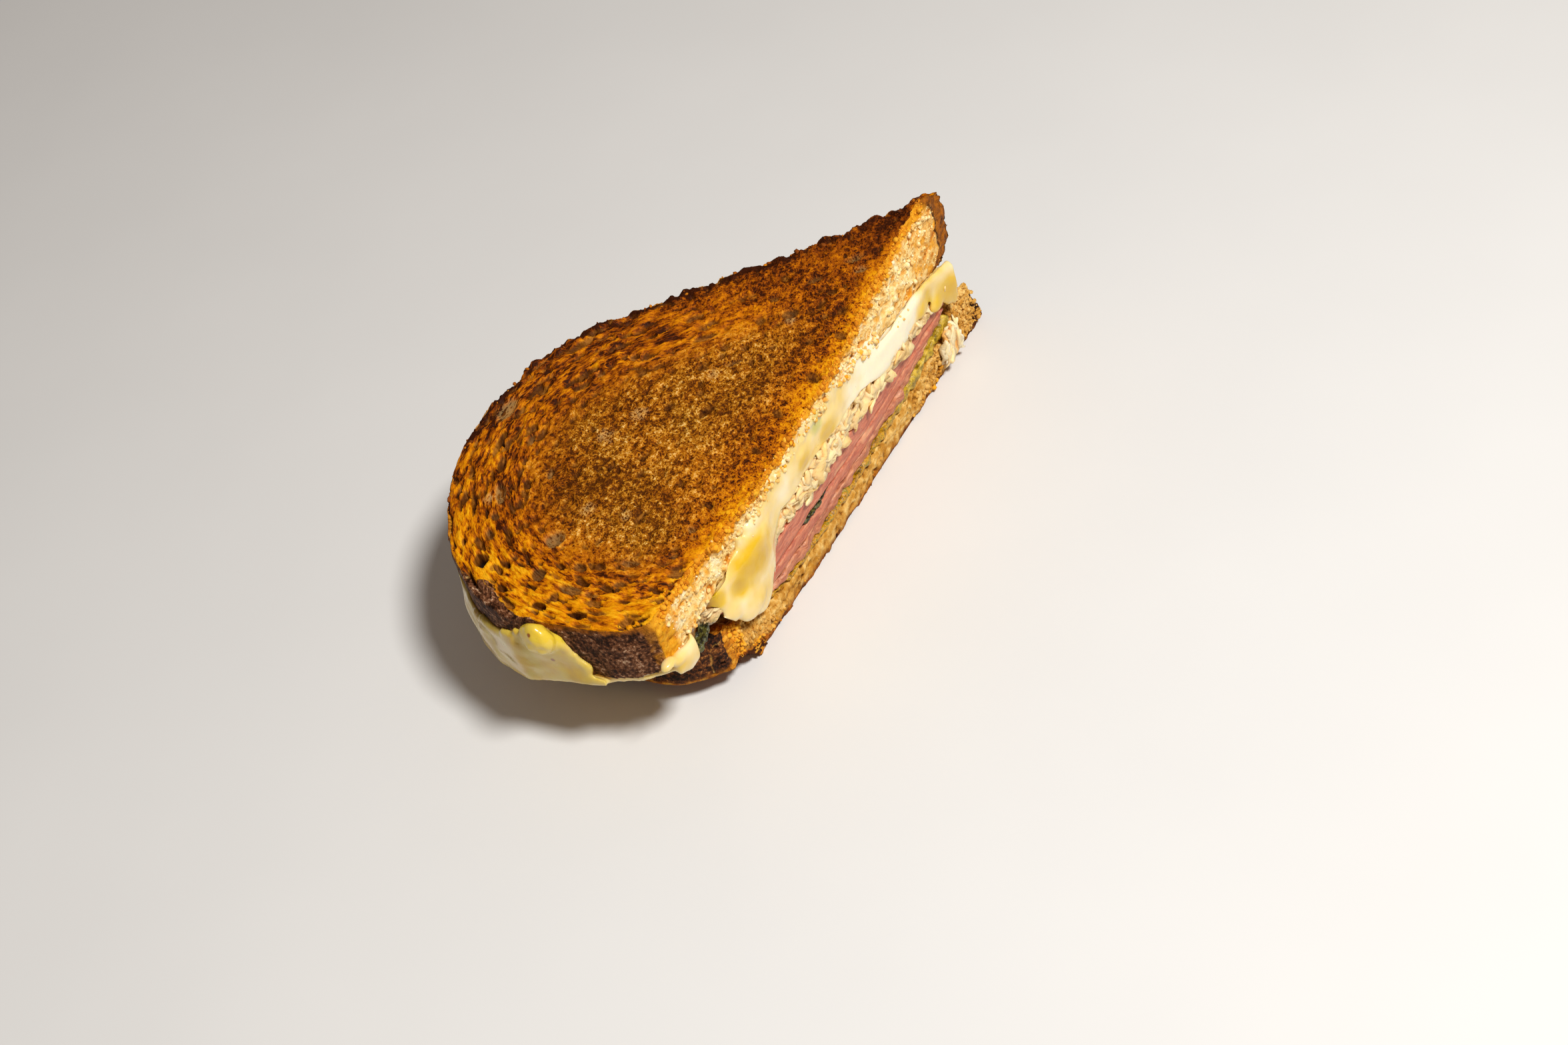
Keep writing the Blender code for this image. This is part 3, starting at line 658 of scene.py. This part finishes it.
def with_core(core, heap, shapes, size, pale=0):
    """One mesh of the pressed core and the ribbons, with a random value kept on each ribbon, from
    pale to 0.6 more."""
    heap.from_mesh(core)
    data = finished(heap, "heap")
    set_points(data, np.concatenate([shapes, points_of(core)[0]]))
    whole = bmesh.new()
    whole.from_mesh(data)
    bmesh.ops.recalc_face_normals(whole, faces=whole.faces)
    whole.to_mesh(data)
    whole.free()
    own = np.repeat(scatter(np.arange(len(shapes) // size * 3).reshape(-1, 3), 51), size)
    of_core = np.zeros(len(core.vertices))
    keep(
        data,
        own=np.concatenate([pale + 0.6 * own, of_core + 0.3 + pale]),
        strand=np.concatenate([np.ones(len(shapes)), of_core]),
    )
    return data


kraut_core, kraut_places, kraut_facing = even_copy("sauerkraut", 0.55)
kraut_side = rise(np.abs(kraut_facing[:, 2]), 0.8, 0.4)
kraut_grain = lumps(kraut_places * (0.5, 0.5, 1.4), 1.5, 41, 2)
kraut_push = kraut_side * (0.35 * kraut_grain - 0.15)
set_points(kraut_core, kraut_places + kraut_facing * kraut_push[:, None])


def kraut_open(place):
    """True on the open sides of the heap, but not behind the thick drip of cheese."""
    return not (place[1] < CUT_DEPTH and -44 < place[0] < -25)


kraut_strands = strands(
    (kraut_places, kraut_facing), 560, (3, 8), (0.9, 2.7), 42, kraut_open, fall=1.8
)
kraut_data = with_core(kraut_core, *kraut_strands)

kraut_material, kraut_place = new_material(
    "sauerkraut", IOR=1.36,
    Subsurface_Weight=0.3, Subsurface_Scale=0.003, Subsurface_Radius=(1, 0.75, 0.4),
)
kraut_vein = kraut_place.warped(2.5, 0.8).stretched(0.5, 0.5, 1.6).noise(0.7, 3, 0.6)
kraut_own = kraut_place.held("own")
kraut_colour = kraut_own.ramp((0, 248, 198, 124), (0.6, 255, 230, 174), (1, 255, 238, 198))
kraut_colour = layered(
    kraut_colour,
    (kraut_vein.rise(0.5, 0.75) * (1.2 - kraut_own) * 0.5, (238, 172, 96)),
    (1 - kraut_place.held("strand"), (248, 184, 104)),
)
paint(
    kraut_place,
    Base_Color=kraut_colour,
    Roughness=kraut_place.noise(1.2, 2) * 0.3 + 0.3,
    Normal=kraut_place.relief(kraut_vein, 0.2),
)
show(kraut_data, "sauerkraut_heap", kraut_material, "sauerkraut", "sauerkraut")

# A few paler shreds have slid out of the heap. They hang nearly upright down the cut face of the
# lower slice, clear of the board.
tuft_core, *tuft_wall = even_copy("sauerkraut_tuft", 0.35)
tuft_strands = strands(
    tuft_wall, 24, (4, 8.5), (0.9, 1.8), 43, lambda place: place[2] > 3.5,
    tilts=(1.35, 0.25), spare=0.2,
)
tuft_data = with_core(tuft_core, *tuft_strands, pale=0.4)
show(tuft_data, "sauerkraut_shreds", kraut_material, "sauerkraut", "sauerkraut_tuft")


# The herbs are wilted leaves, nearly black, creased and torn at their edges. One is pressed between
# the slices of beef, and one is stuck in the gap at the near end.
def leaf(node, seed):
    data, places, facing = even_copy(node, 0.22)
    push = 0.4 * lumps(places, 1.3, seed, 2) - 0.35 * pores(places, 1.1, seed + 1, 0.6)
    set_points(data, places + facing * push[:, None])
    material, place = new_material(node + "_leaf", Roughness=0.4)
    colour = layered(
        (16, 18, 6),
        (place.noise(0.9, 4, 0.6).rise(0.38, 0.62), (88, 86, 34)),
        (place.noise(0.5, 2).rise(0.62, 0.74), (118, 112, 58)),
    )
    paint(place, Base_Color=colour, Normal=place.relief(place.noise(0.5, 3), 0.25))
    show(data, node + "_leaf", material, "herb", node)


leaf("herb_middle", 61)
leaf("herb_near", 63)


# The cheese is a mild yellow one that has melted under the upper slice, run down the cut and over
# the crust of the near side, and set again with a soft gloss.
CORNER_RADIUS = 41.9
CRUST_START = math.pi + math.asin(END_CENTRE[1] / CORNER_RADIUS)
RAY_START, CRUST_FOOT = 70, 26.2
# Edges of the skirt: the run round the crust from the near corner of the cut, and the level there.
SKIRT_TOP = (
    (17, 25.8), (19, 28.5), (21, 32), (23, 34.6), (30, 35), (33, 33.8), (40, 30.8), (50, 28.8),
    (60, 27.4), (70, 25.4), (78, 25),
)
SKIRT_FOOT = (
    (17, 25.4), (19, 24.6), (22, 23.4), (28, 24.8), (34, 25.6), (40, 24.8), (50, 23), (60, 21.6),
    (68, 21.6), (78, 24.4),
)
SKIRT_START, SKIRT_END, BLOB_STEP = 18.2, 77, 1.1
KNOB_RUN, KNOB_LEVEL = 26, 34.8
# Edges of the lip and of the drip: the place along the cut, and the level there.
LIP_START, LIP_END = -34, 27
LIP_TOP = (
    (-44, 27), (-39, 29.4), (-35, 31.6), (-30, 33.6), (-23, 35), (-17, 36.6), (-10, 37.4),
    (-4, 37.4), (4, 37.6), (10, 36.6), (16, 35.6), (21, 34.6), (29, 33.6), (39, 31.2), (50, 27.5),
    (57, 23),
)
DRIP_FOOT = (
    (-46.3, 22.5), (-43.4, 17.6), (-41, 14.9), (-38.9, 13), (-37, 11.9), (-35.4, 11.3),
    (-33.8, 11.2), (-32, 11.7), (-30.2, 13), (-28.6, 14.8), (-27, 17),
)
# The thick parts on the cut: places, and radii out, across and up turned into x, y and z.
CUT_BLOBS = (
    ((-38, -1.3, 19), (5.4, 1.9, 3.9)), ((-43, -0.8, 23.6), (3.4, 1.4, 2.4)),
    ((-36, -1.4, 17.4), (5.2, 1.7, 2.6)), ((-37.4, -2.1, 17), (4.8, 1.5, 3.2)),
    ((-42.4, -1.2, 20.4), (3.8, 1.7, 3.2)), ((-34.5, -1, 23), (5.4, 1.8, 4.2)),
    ((-30.5, -0.8, 27.5), (5.4, 1.5, 3.8)), ((-27, -0.6, 31), (5, 1.2, 3.4)),
    ((-37, -0.6, 27.6), (4.6, 1.1, 3)), ((-64, -0.5, 27.4), (2.2, 1.3, 0.9)),
    ((-61, -0.8, 26.2), (2.5, 1.4, 0.9)), ((-58.8, -0.7, 24.6), (1.5, 1.1, 1)),
    ((-9, -0.7, 31), (3, 1.1, 2.2)), ((0, -0.6, 31.8), (4, 1, 2)),
    ((46, -0.9, 24.6), (3.4, 1.2, 2.2)), ((52, -0.9, 21), (3, 1.2, 2.4)),
    ((58, -0.8, 18), (2.8, 1.1, 2.2)),
)


def crust_place(tree, run, level):
    """The place on the near crust at this run and level, the way out of it, and its angle."""
    angle = CRUST_START - run / END_RADIUS
    out = Vector((math.cos(angle), math.sin(angle), 0))
    start = (*(END_CENTRE + RAY_START * np.array(out)[:2]), max(level, CRUST_FOOT))
    hit = tree.ray_cast((Vector(start) + Vector(PLAN_START)) * MM, -out)[0]
    place = hit / MM - Vector(PLAN_START)
    place.z = level
    return place, out, angle


def read_off(line, place, **ends):
    """The level of an edge, given as (place, level) points, at each place."""
    return np.interp(place, *zip(*line), **ends)


def patch(places, centre, reach, full, squash=1):
    """1 within full of a centre, falling smoothly to 0 at reach, and squashed in height."""
    away = np.linalg.norm((places - np.array(centre)) / (1, 1, squash), axis=1)
    return rise(away, reach, full)


cheese_draw = random.Random(70)
crust_mesh = bmesh.new()
crust_mesh.from_mesh(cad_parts["bread_top"].data)
crust_tree = BVHTree.FromBMesh(crust_mesh)
crust_mesh.free()
cheese_blobs = [(centre, radii, 0) for centre, radii in CUT_BLOBS]
for run in np.arange(SKIRT_START, SKIRT_END, BLOB_STEP):
    foot, top = read_off(SKIRT_FOOT, run), read_off(SKIRT_TOP, run)
    for level in np.arange(foot + 0.8, top - 0.3, 1.2):
        place, out, angle = crust_place(crust_tree, run, level + cheese_draw.uniform(-0.1, 0.1))
        swell = 0.75 + 0.5 * math.exp(-((run - 27) / 9) ** 2)
        swell *= 1 + 0.35 * math.exp(-((level - foot) / 1.6) ** 2)
        cheese_blobs.append((place + 0.25 * out, (0.85 * swell, 1.2, 1.1), angle))
knob, out, angle = crust_place(crust_tree, KNOB_RUN, KNOB_LEVEL)
cheese_blobs.append((knob + 1.6 * out, (1.9, 3.7, 3.7), angle))
for x in np.arange(LIP_START, LIP_END, BLOB_STEP):
    top = read_off(LIP_TOP, x) + cheese_draw.uniform(-1.9, 1.1)
    for level in np.arange(29.5, top - 0.5, 1):
        thick = 0.8 + 0.5 * math.exp(-((level - 30) / 3.5) ** 2)
        cheese_blobs.append(((x, -0.5, level), (1.2, thick, 1.1), 0))

cheese_data, cheese_places, cheese_facing = even_copy("cheese", 0.45, smooth=12, blobs=cheese_blobs)
cheese_x, cheese_y, cheese_z = cheese_places.T
cheese_push = 0.5 * lumps(cheese_places, 6.5, 71) + 0.12 * lumps(cheese_places, 2.6, 72)
cheese_push += 0.5 * lumps(cheese_places, 2.4, 73, 2) * rise(cheese_z, 31, 34)
cheese_places += cheese_facing * cheese_push[:, None]
# The drip's lower edge is drawn up to its own line, and a hollow runs in between it and the tongue.
drip_short = read_off(DRIP_FOOT, cheese_x, left=0, right=0) - cheese_z
cheese_places[:, 2] += 0.85 * np.maximum(drip_short, 0) * rise(cheese_y, 2, 0.5)
cheese_hollow = span(cheese_x, -56.5, -54, -47.6, -45.4) * rise(cheese_y, 2.5, 1)
cheese_places[:, 1] += 1.9 * cheese_hollow
set_points(cheese_data, cheese_places)
# Where the cheese is painted deeper yellow, for thick cheese and as painted shade in its hollows:
# the place along the cut, the level, and the reach.
CHEESE_POOLS_AND_SHADE = (
    (-33, 26, 9), (-39, 24, 4.6), (-46, 26, 4), (2, 29, 5), (46, 24, 7), (-9, 30, 3.5),
    (55, 20, 9),
)
GREEN_SPOT = (-1.6, -1.5, 34)
cheese_pool = np.zeros(len(cheese_places))
for x, z, reach in CHEESE_POOLS_AND_SHADE:
    pool = patch(cheese_places, (x, -1, z), reach, reach * 0.25, 0.8)
    cheese_pool = np.maximum(cheese_pool, pool)
cheese_inside, _ = by_the_crust(cheese_places)
keep(
    cheese_data,
    pool=cheese_pool,
    milky=span(cheese_x, 8, 20, 38, 48),
    skirt=rise(cheese_inside, 4, 1) * rise(cheese_y, 3, 8),
    knob=patch(cheese_places, knob, 5.4, 4),
    green=patch(cheese_places, GREEN_SPOT, 3.4, 1.2),
    hollow=cheese_hollow,
)

cheese_material, cheese_place = new_material(
    "melted_cheese", Coat_Roughness=0.1, IOR=1.42,
    Subsurface_Weight=0.35, Subsurface_Scale=0.002, Subsurface_Radius=(1, 0.7, 0.2),
)
# Deeper yellow where the cheese is thick, and painted shade in the hollows of the drip.
cheese_level = (cheese_place.noise(7, 2) - 0.5) * 0.8 - cheese_place.held("pool") * 0.38
# Paler along the middle of the cut: paler cheese there, and a painted highlight.
cheese_level = cheese_level + cheese_place.held("milky") * 0.4 + 0.55
cheese_colour = cheese_level.ramp(
    (0.1, 208, 164, 8), (0.32, 222, 181, 36), (0.54, 236, 207, 130), (0.82, 248, 236, 204),
)
cheese_on_skirt = cheese_place.held("skirt")
skirt_colour = cheese_place.noise(4, 3).rise(0.35, 0.65).between((204, 164, 30), (208, 182, 72))
skirt_speck = cheese_place.cells(4).rise(0.16, 0.08) * cheese_place.noise(5).rise(0.5, 0.6)
cheese_colour = layered(
    cheese_colour,
    (cheese_on_skirt * 0.9, skirt_colour),
    (cheese_place.held("knob"), (226, 194, 56)),
    # The hollow between the drip and the tongue is painted tan as its shade.
    (cheese_place.held("hollow").rise(0.3, 0.8), (150, 100, 40)),
    (cheese_place.held("green") * 0.8, (190, 184, 88)),
    (skirt_speck * cheese_on_skirt, (150, 84, 18)),
)
paint(
    cheese_place,
    Base_Color=cheese_colour,
    Roughness=cheese_place.noise(3, 3) * 0.25 + 0.2,
    Coat_Weight=cheese_place.noise(5, 2).rise(0.3, 0.6) * 0.9,
    Normal=cheese_place.relief(cheese_place.noise(1.6, 3), 0.1),
)
show(cheese_data, "cheese_melt", cheese_material, "cheese", "cheese")


# The upper slice is the same rye bread, lying grilled side up. Its open crumb is fried brown, with
# long pores that follow the crust, round ones further in, dark crags at the back and a golden rim.
TOP_CELL, TOP_LEVEL, TOP_SLOPE = 0.45, 43.1, 0.07
top_data, top_places, top_facing = even_copy("bread_top", TOP_CELL)
top_toast, top_cut, top_crust = sides_of_slice(top_places, top_facing, 1)
top_inside, top_along = by_the_crust(top_places)
top_x, top_y, top_z = top_places.T
top_sag = 3 * np.clip(1 - ((top_x + 3) / 58) ** 2, 0, 1)
top_sag *= np.exp(-np.maximum(top_y, 0) / 16)
top_below = np.maximum(TOP_LEVEL + TOP_SLOPE * top_x - top_sag - top_z, 0)
top_rim = np.exp(-top_below / 1.8)

# Pores of the grilled face: place, half length along the crust, half width, depth, and how pale.
TOAST_PORES = (
    (-60.2, 43.5, 2.5, 1.5, 4, 0), (-64.8, 35.6, 1.9, 0.8, 2.6, 0), (-66.3, 25.5, 2.2, 1, 2.6, 0),
    (-51.1, 31.1, 3.3, 2.3, 1.3, 0.45), (-59.6, 29.6, 2.3, 1.4, 1.8, 0.15),
    (-55.6, 21.9, 2.8, 1.1, 1.5, 0.1), (-61.1, 20.8, 4.3, 1.2, 1.2, 0.2),
    (-51.5, 12.5, 3.3, 1, 1.4, 0.25), (-49.6, 47.1, 1.9, 1.1, 1.2, 0.1),
    (-53.9, 45.7, 2.2, 1.2, 1.1, 0.15), (-57.6, 36.8, 1.3, 1, 1, 0.1),
    (-22.9, 61, 4.2, 1.6, 1.3, 0.6), (-32.2, 57.4, 4.6, 0.9, 3, 0), (-44, 49.3, 4, 1.4, 1.6, 0.55),
    (-36.2, 41.5, 3.1, 0.9, 1.3, 0.35), (-40, 45, 2.3, 0.8, 2.2, 0),
    (-29.1, 51, 2.9, 0.8, 1.8, 0.2), (-32.1, 31.7, 0.9, 0.8, 1.8, 0), (-39.8, 21, 1.3, 1, 2, 0.1),
    (-39.8, 5.4, 1.6, 1, 1.3, 0.4), (-46.8, 5.2, 1.9, 0.6, 1.3, 0.1),
    (-56.7, 11.6, 2.6, 0.8, 1.3, 0.1), (-61, 16.1, 2.6, 0.7, 1, 0.2),
    (29.2, 13, 1.9, 0.9, 1.4, 0.1), (27.2, 7.8, 1.3, 0.8, 2, 0), (36.9, 7.2, 2.2, 1, 0.9, 0.3),
    (34.7, 4.6, 1.5, 0.8, 0.9, 0.5), (21.6, 18.9, 1.2, 0.7, 1.6, 0),
    (18.8, 13.8, 2, 1.4, 1.6, 0.1), (16.3, 4.2, 0.8, 0.6, 1.4, 0), (9.1, 12.9, 0.8, 0.6, 1.5, 0),
    (7, 18.6, 1.1, 0.8, 1.5, 0), (4, 15.2, 0.7, 1, 1.8, 0), (2.7, 18.7, 2.2, 0.7, 1.2, 0.2),
    (-8.5, 45.7, 1.6, 0.9, 1.3, 0.2), (-2.2, 40.8, 1.3, 1, 1.4, 0.1),
)
# Where the crumb has torn to pale webs: place, and reach.
TOAST_WEBS = (
    (-23.4, 34.8, 2.4), (-16.1, 31.2, 2.2), (-42.1, 28.3, 2), (-1.4, 21.6, 1.8),
    (-41.3, 19.7, 1.5), (17.1, 12.9, 1.8), (-45.5, 51, 1.8),
)


def on_the_face(first, second):
    """Places in a pattern that lies flat on the grilled face."""
    return np.stack([first, second, np.zeros(len(first))], axis=1)


top_beside = rise(top_inside, 27, 12) * rise(top_x, 30, 0)
top_sway = on_the_face(lumps(top_places, 9, 80), lumps(top_places, 7, 81))
top_sway += 0.5 * on_the_face(lumps(top_places, 2.4, 102), lumps(top_places, 2.2, 82))
top_wrapped = on_the_face(top_along / 3.2, top_inside) + 0.6 * top_sway
top_flat = on_the_face(0.8 * top_x, top_y) + 0.5 * top_sway
top_pit = top_beside * (
    1.5 * pores(top_wrapped, 2.7, 83, 0.75, 0.15, 0.4)
    + 0.9 * pores(top_wrapped, 1.6, 84, 0.7)
)
top_pit += (1 - top_beside) * (
    0.9 * pores(top_flat, 4.6, 85, 0.4, 0.1, 0.3)
    + 0.55 * pores(top_flat, 2.1, 86, 0.45)
)
top_pit += 0.25 * pores(top_flat, 1.3, 87, 0.7)
top_ring_fold = 1 - 1.7 * np.abs(lumps(top_wrapped, 1.7, 97, 2))
top_core_fold = 1 - 1.7 * np.abs(lumps(top_flat, 1.9, 98, 2))
top_lift = np.clip(top_beside * top_ring_fold + (1 - top_beside) * top_core_fold, -0.4, 1)
top_pale = np.zeros(len(top_places))
for x, y, long, wide, deep, pale in TOAST_PORES:
    close = np.flatnonzero((np.hypot(top_x - x, top_y - y) < 7) & (top_toast > 0))
    pore_inside, pore_along = by_the_crust(np.array([[x, y]]))
    reach = np.hypot(
        (top_along[close] - pore_along) / long, (top_inside[close] - pore_inside) / wide
    )
    reach += 0.22 * lumps(top_places[close], 2.2, 88)
    bowl = np.sqrt(np.clip(1 - reach ** 2, 0, 1))
    top_pit[close] = np.maximum(top_pit[close] * (reach > 1.3), deep * bowl)
    top_pale[close] = np.maximum(top_pale[close], pale * rise(reach, 1.25, 0.7))
for x, y, reach in TOAST_WEBS:
    away = np.hypot(top_x - x, top_y - y) + 0.8 * lumps(top_places, 1.5, 89)
    top_pale = np.maximum(top_pale, 0.9 * rise(away, reach, reach * 0.4) * top_toast)

# How the heat has coloured it: burnt at the back, amber at the near rim and the cut, dull within.
top_back = rise(top_inside, 4.5, 0.6) * rise(top_along, -50, -15)
top_glow = rise(top_inside, 20, 4) * rise(top_x, -20, -45) * rise(top_y, 60, 25)
top_glow = 0.8 * top_glow + rise(top_y, 5, 0.5) * (1 - rise(top_x, 20, 60))
top_heat = 0.02 + 0.31 * np.clip(top_glow, 0, 1)
top_burn = rise(top_inside, 4.4, 0.8) * rise(top_along, -50, -24)
top_heat -= 0.28 * top_burn * rise(top_x, 60, 30)
top_heat -= 0.08 * rise(top_inside, 15, 6) * rise(top_along, -66, -20)
top_heat -= 0.05 * rise(top_x, 20, 46) * rise(top_y, 0.3, 1.6)
top_heat -= 0.08 * span(top_y, 1, 4, 4, 16) * rise(top_x, -10, 15)
top_char = rise(lumps(top_places, 4.4, 106, 2), -0.2, 0.4) * rise(top_inside, 2.2, 0.8)
top_heat -= 0.34 * top_char * rise(top_x, 50, 20)
top_heat += 0.1 * rise(top_x, 20, 36) + 0.12 * lumps(top_places, 12, 90, 3)
top_left = rise(top_x, -30, -42) * rise(top_y, 34, 44)
top_heat += 0.16 * rise(top_inside, 11, 8) * top_left
top_heat += 0.3 * rise(lumps(top_places, 2.6, 103, 2), 0.3, 0.8) * top_back
top_orange = rise(top_inside, 12, 7) * rise(top_x, -34, -46) * rise(top_y, 34, 20)
top_heat += 0.07 * top_orange
top_even = np.maximum(top_orange, rise(top_x, 18, 38))
top_dull = rise(top_inside, 14, 26) * rise(top_x, 42, 12) * rise(top_y, 3, 12)
top_dull *= 0.75 + 0.35 * lumps(top_places, 9, 99, 2)

# Butter has run from the rim a little way down the cut, and over the cut's near corner.
top_run = top_below + 0.9 * lumps(top_places, 2.6, 104, 2)
top_golden = np.exp(-np.maximum(top_run, 0) / 3.2)
top_corner = rise(top_x + 1.6 * lumps(top_places, 2.8, 108), -55, -63)

# The face is pitted, the back edge stands up in crags, and the cut leans out at its top.
top_face = top_toast * (0.3 * (top_lift - 0.5) - top_pit)
top_crag = np.clip(lumps(top_places, 2, 92, 2), -0.5, 1) * rise(top_below, 5, 0.5)
top_lean = 2.2 * span(top_x, -52, -28, 12, 34) * rise(top_y, 8, 0)
top_lean *= np.exp(-top_below / 5)
top_crumb_shape = top_places * (0.75, 1, 1.1)
top_crumb_pit = 0.8 * pores(top_crumb_shape, 1.9, 93, 0.8)
top_crumb_pit += 0.9 * pores(top_crumb_shape, 3.4, 94, 0.5)
top_open = top_cut * (0.5 * lumps(top_places, 2.6, 95, 3) - 0.6 * top_crumb_pit)
top_open += 0.6 * top_cut * top_rim * lumps(top_places, 2, 101, 2)
top_bark = top_crust * (0.35 * lumps(top_places, 5, 96, 3) - 0.1)
top_push = top_face + top_back * 0.9 * top_crag + top_open + top_bark
top_places += top_facing * top_push[:, None]
top_places[:, 1] -= top_lean
set_points(top_data, top_places)

# The crust closes the cut's far end, whose edge is given as the level and the place along the cut.
TOP_FAR_EDGE = ((24, 57), (26.7, 59), (31, 63.8), (38.2, 65.1), (44.2, 62.5), (47, 60))
top_far = top_x - read_off(TOP_FAR_EDGE, top_z) + 0.8 * lumps(top_places, 2.2, 105)
top_far = rise(top_far, -6.6, -4.2)
top_crust = np.maximum(top_crust, top_cut * top_far)
# A band of crust at the near left stays bare and dull: the place across the food, and its width.
BARE_RIM = ((14, 0), (22, 1.5), (33, 2.6), (38, 3.2), (43, 2), (49, 0))
top_bare_rim = read_off(BARE_RIM, top_y) * rise(top_x, -40, -50)
top_skin = top_bare_rim - top_inside + 1.2 * lumps(top_places, 3, 109, 3)
top_skin = rise(top_skin, -0.3, 1) * rise(top_bare_rim, 0.4, 1.4)
top_crust = np.maximum(top_crust, top_skin)
top_toast *= 1 - top_skin
top_gilt = top_cut * np.maximum(np.maximum(top_golden, top_corner), 0.5 * top_far)
top_gilt += (1 - top_cut) * top_rim * (1 - top_skin)
keep(
    top_data,
    pore=top_crumb_pit * top_cut + 0.5 * rise(top_x, 30, 55),
    pit=top_pit * top_toast, lift=top_lift, pale=top_pale, browning=top_heat, even=top_even,
    dull=top_dull, toast=top_toast, crust=top_crust, gold=top_gilt,
    along=top_along, inside=top_inside, beside=top_beside,
)

top_material, top_place = new_material("grilled_rye", Specular_IOR_Level=0.06)
toast_round = {"X": top_place.held("along") * (MM / 4), "Y": top_place.held("inside") * MM}
toast_flow = top_place.node("CombineXYZ", {}, toast_round).warped(4, 0.5)
toast_beside, toast_even = top_place.held("beside"), top_place.held("even")
toast_pit, top_on_crust = top_place.held("pit"), top_place.held("crust")


def toast_noise(size, detail, roughness):
    """Noise drawn out along the crust near it, and even further in."""
    return toast_beside.blend(
        top_place.noise(size, detail, roughness), toast_flow.noise(size, detail, roughness)
    )


toast_clump = toast_noise(1.3, 5, 0.68)
toast_fibre = toast_noise(0.8, 3, 0.6)
toast_thread = 1 - toast_fibre.maths("ABSOLUTE", toast_fibre * 2 - 1)
# Grooves along the crust are painted darker as their shade, and the ridges a little lighter as a
# painted highlight.
toast_groove = toast_flow.noise(1.7, 3, 0.55).rise(0.5, 0.36) * toast_beside
toast_level = (
    (toast_clump - 0.5) * (2.1 - toast_even * 0.8) + 0.24
    + (top_place.noise(7, 2) - 0.5) * 0.3
    + top_place.held("browning") + (top_place.held("lift") - 0.5) * 0.12
    + (toast_thread - 0.84) * (1.5 - toast_even * 0.5)
    - toast_groove * 0.2 + toast_beside * 0.09
)
toast_colour = toast_level.ramp(
    (0.02, 54, 20, 1), (0.2, 114, 50, 1), (0.36, 158, 80, 1), (0.52, 194, 110, 1),
    (0.66, 212, 130, 1), (0.82, 226, 150, 5), (0.98, 236, 170, 24),
)
toast_grey = (toast_level + (top_place.noise(0.45, 2) - 0.5) * 0.8).ramp(
    (0.1, 84, 42, 3), (0.32, 136, 78, 7), (0.48, 170, 108, 14), (0.66, 208, 156, 58),
    (0.88, 244, 214, 150),
)
# Pit floors are painted dark as their shade, and the deepest pits nearly black.
toast_floor = toast_clump.ramp((0.34, 44, 18, 3), (0.5, 96, 52, 10), (0.66, 164, 104, 34))
toast_colour = layered(
    toast_colour,
    (top_place.held("dull") * 0.85, toast_grey),
    (toast_pit.rise(0.25, 0.95), toast_floor),
    (toast_pit.rise(1.7, 3.2), (20, 9, 4)),
    (top_place.held("pale") * toast_thread.rise(0.8, 0.96) * 0.6, (208, 168, 104)),
)
TOP_LOOKS = ((196, 120, 38), (226, 174, 92), (240, 208, 140), (250, 234, 192), (228, 156, 32))
top_crumb, top_crumb_height = crumb_colour(top_place, TOP_LOOKS)
top_bark_colour, top_bark_height = crust_colour(
    top_place, ((40, 20, 10), (88, 51, 30), (136, 90, 60), (204, 170, 138))
)
top_ragged = (top_place.noise(1.6, 4, 0.6) - 0.5) * 0.9
crumb_butter = top_ragged.rise(-0.2, 0.3).between((200, 124, 8), (236, 178, 50))
crust_butter = top_ragged.rise(-0.3, 0.2).between((78, 38, 12), (176, 102, 26))
top_butter = top_on_crust.between(crumb_butter, crust_butter)
top_done = (top_place.held("toast") + top_ragged * 0.3).rise(0.3, 0.6)
top_colour = layered(
    top_crumb,
    ((top_on_crust + top_ragged * 0.4).rise(0.3, 0.6), top_bark_colour),
    ((top_place.held("gold") + top_ragged * 0.5).rise(0.25, 0.55), top_butter),
    (top_done, toast_colour),
)
top_height = top_done.blend(
    top_crumb_height + top_bark_height * top_on_crust,
    toast_clump * 0.6 + toast_thread * 0.4,
)
paint(
    top_place,
    Base_Color=top_colour,
    Roughness=toast_fibre * 0.3 + 0.4,
    Normal=top_place.relief(top_height, 0.7),
)
show(top_data, "bread_top_toast", top_material, "toast", "bread_top")

# Grains of crumb stand out of the cut above the lip of cheese, golden where butter ran along the
# rim, and along the back edge they are burnt.
top_gold = top_cut * top_golden
top_burnt = rise(top_inside, 2.6, 0.3) * np.exp(-top_below / 1.3) * rise(top_along, -80, -40)
top_lip = read_off(LIP_TOP, top_x, left=0)
top_weight = top_cut * (0.35 + 3 * top_gold) * rise(top_z, top_lip - 1.6, top_lip + 0.6)
top_weight = top_weight * (1 - top_corner) * (1 - top_far) + 0.25 * top_burnt
top_grains, top_chosen, top_own = grains(top_places, top_facing, top_weight, 1700, (0.2, 0.8), 100)
top_baked = 0.5 * rise(top_gold[top_chosen], 0.3, 0.65) * (0.6 + 0.6 * top_own)
top_baked += (0.5 + 0.4 * top_own) * rise(top_cut[top_chosen], 0.5, 0.2)
keep_baked(top_grains, top_baked)

# Crumbs of the same bread broke off when the food was cut, and have fallen on to the upper edge of
# the cheese, where they stick.
cheese_edge = read_off(LIP_TOP, cheese_x, left=0, right=0)
cheese_weight = rise(cheese_z, cheese_edge - 3.4, cheese_edge - 0.6)
cheese_weight *= rise(-cheese_facing[:, 1], 0.3, 0.7) * span(cheese_x, -34, -20, 30, 44)
fallen, _, fallen_own = grains(cheese_places, cheese_facing, cheese_weight, 300, (0.3, 0.95), 107)
keep_baked(fallen, 0.34 * fallen_own ** 2)
crumb_grains = grain_looks("crumb_grains", TOP_LOOKS)
show(top_grains, "crumb_grains_top", crumb_grains, "toast")
show(fallen, "crumb_grains_fallen", crumb_grains, "toast")
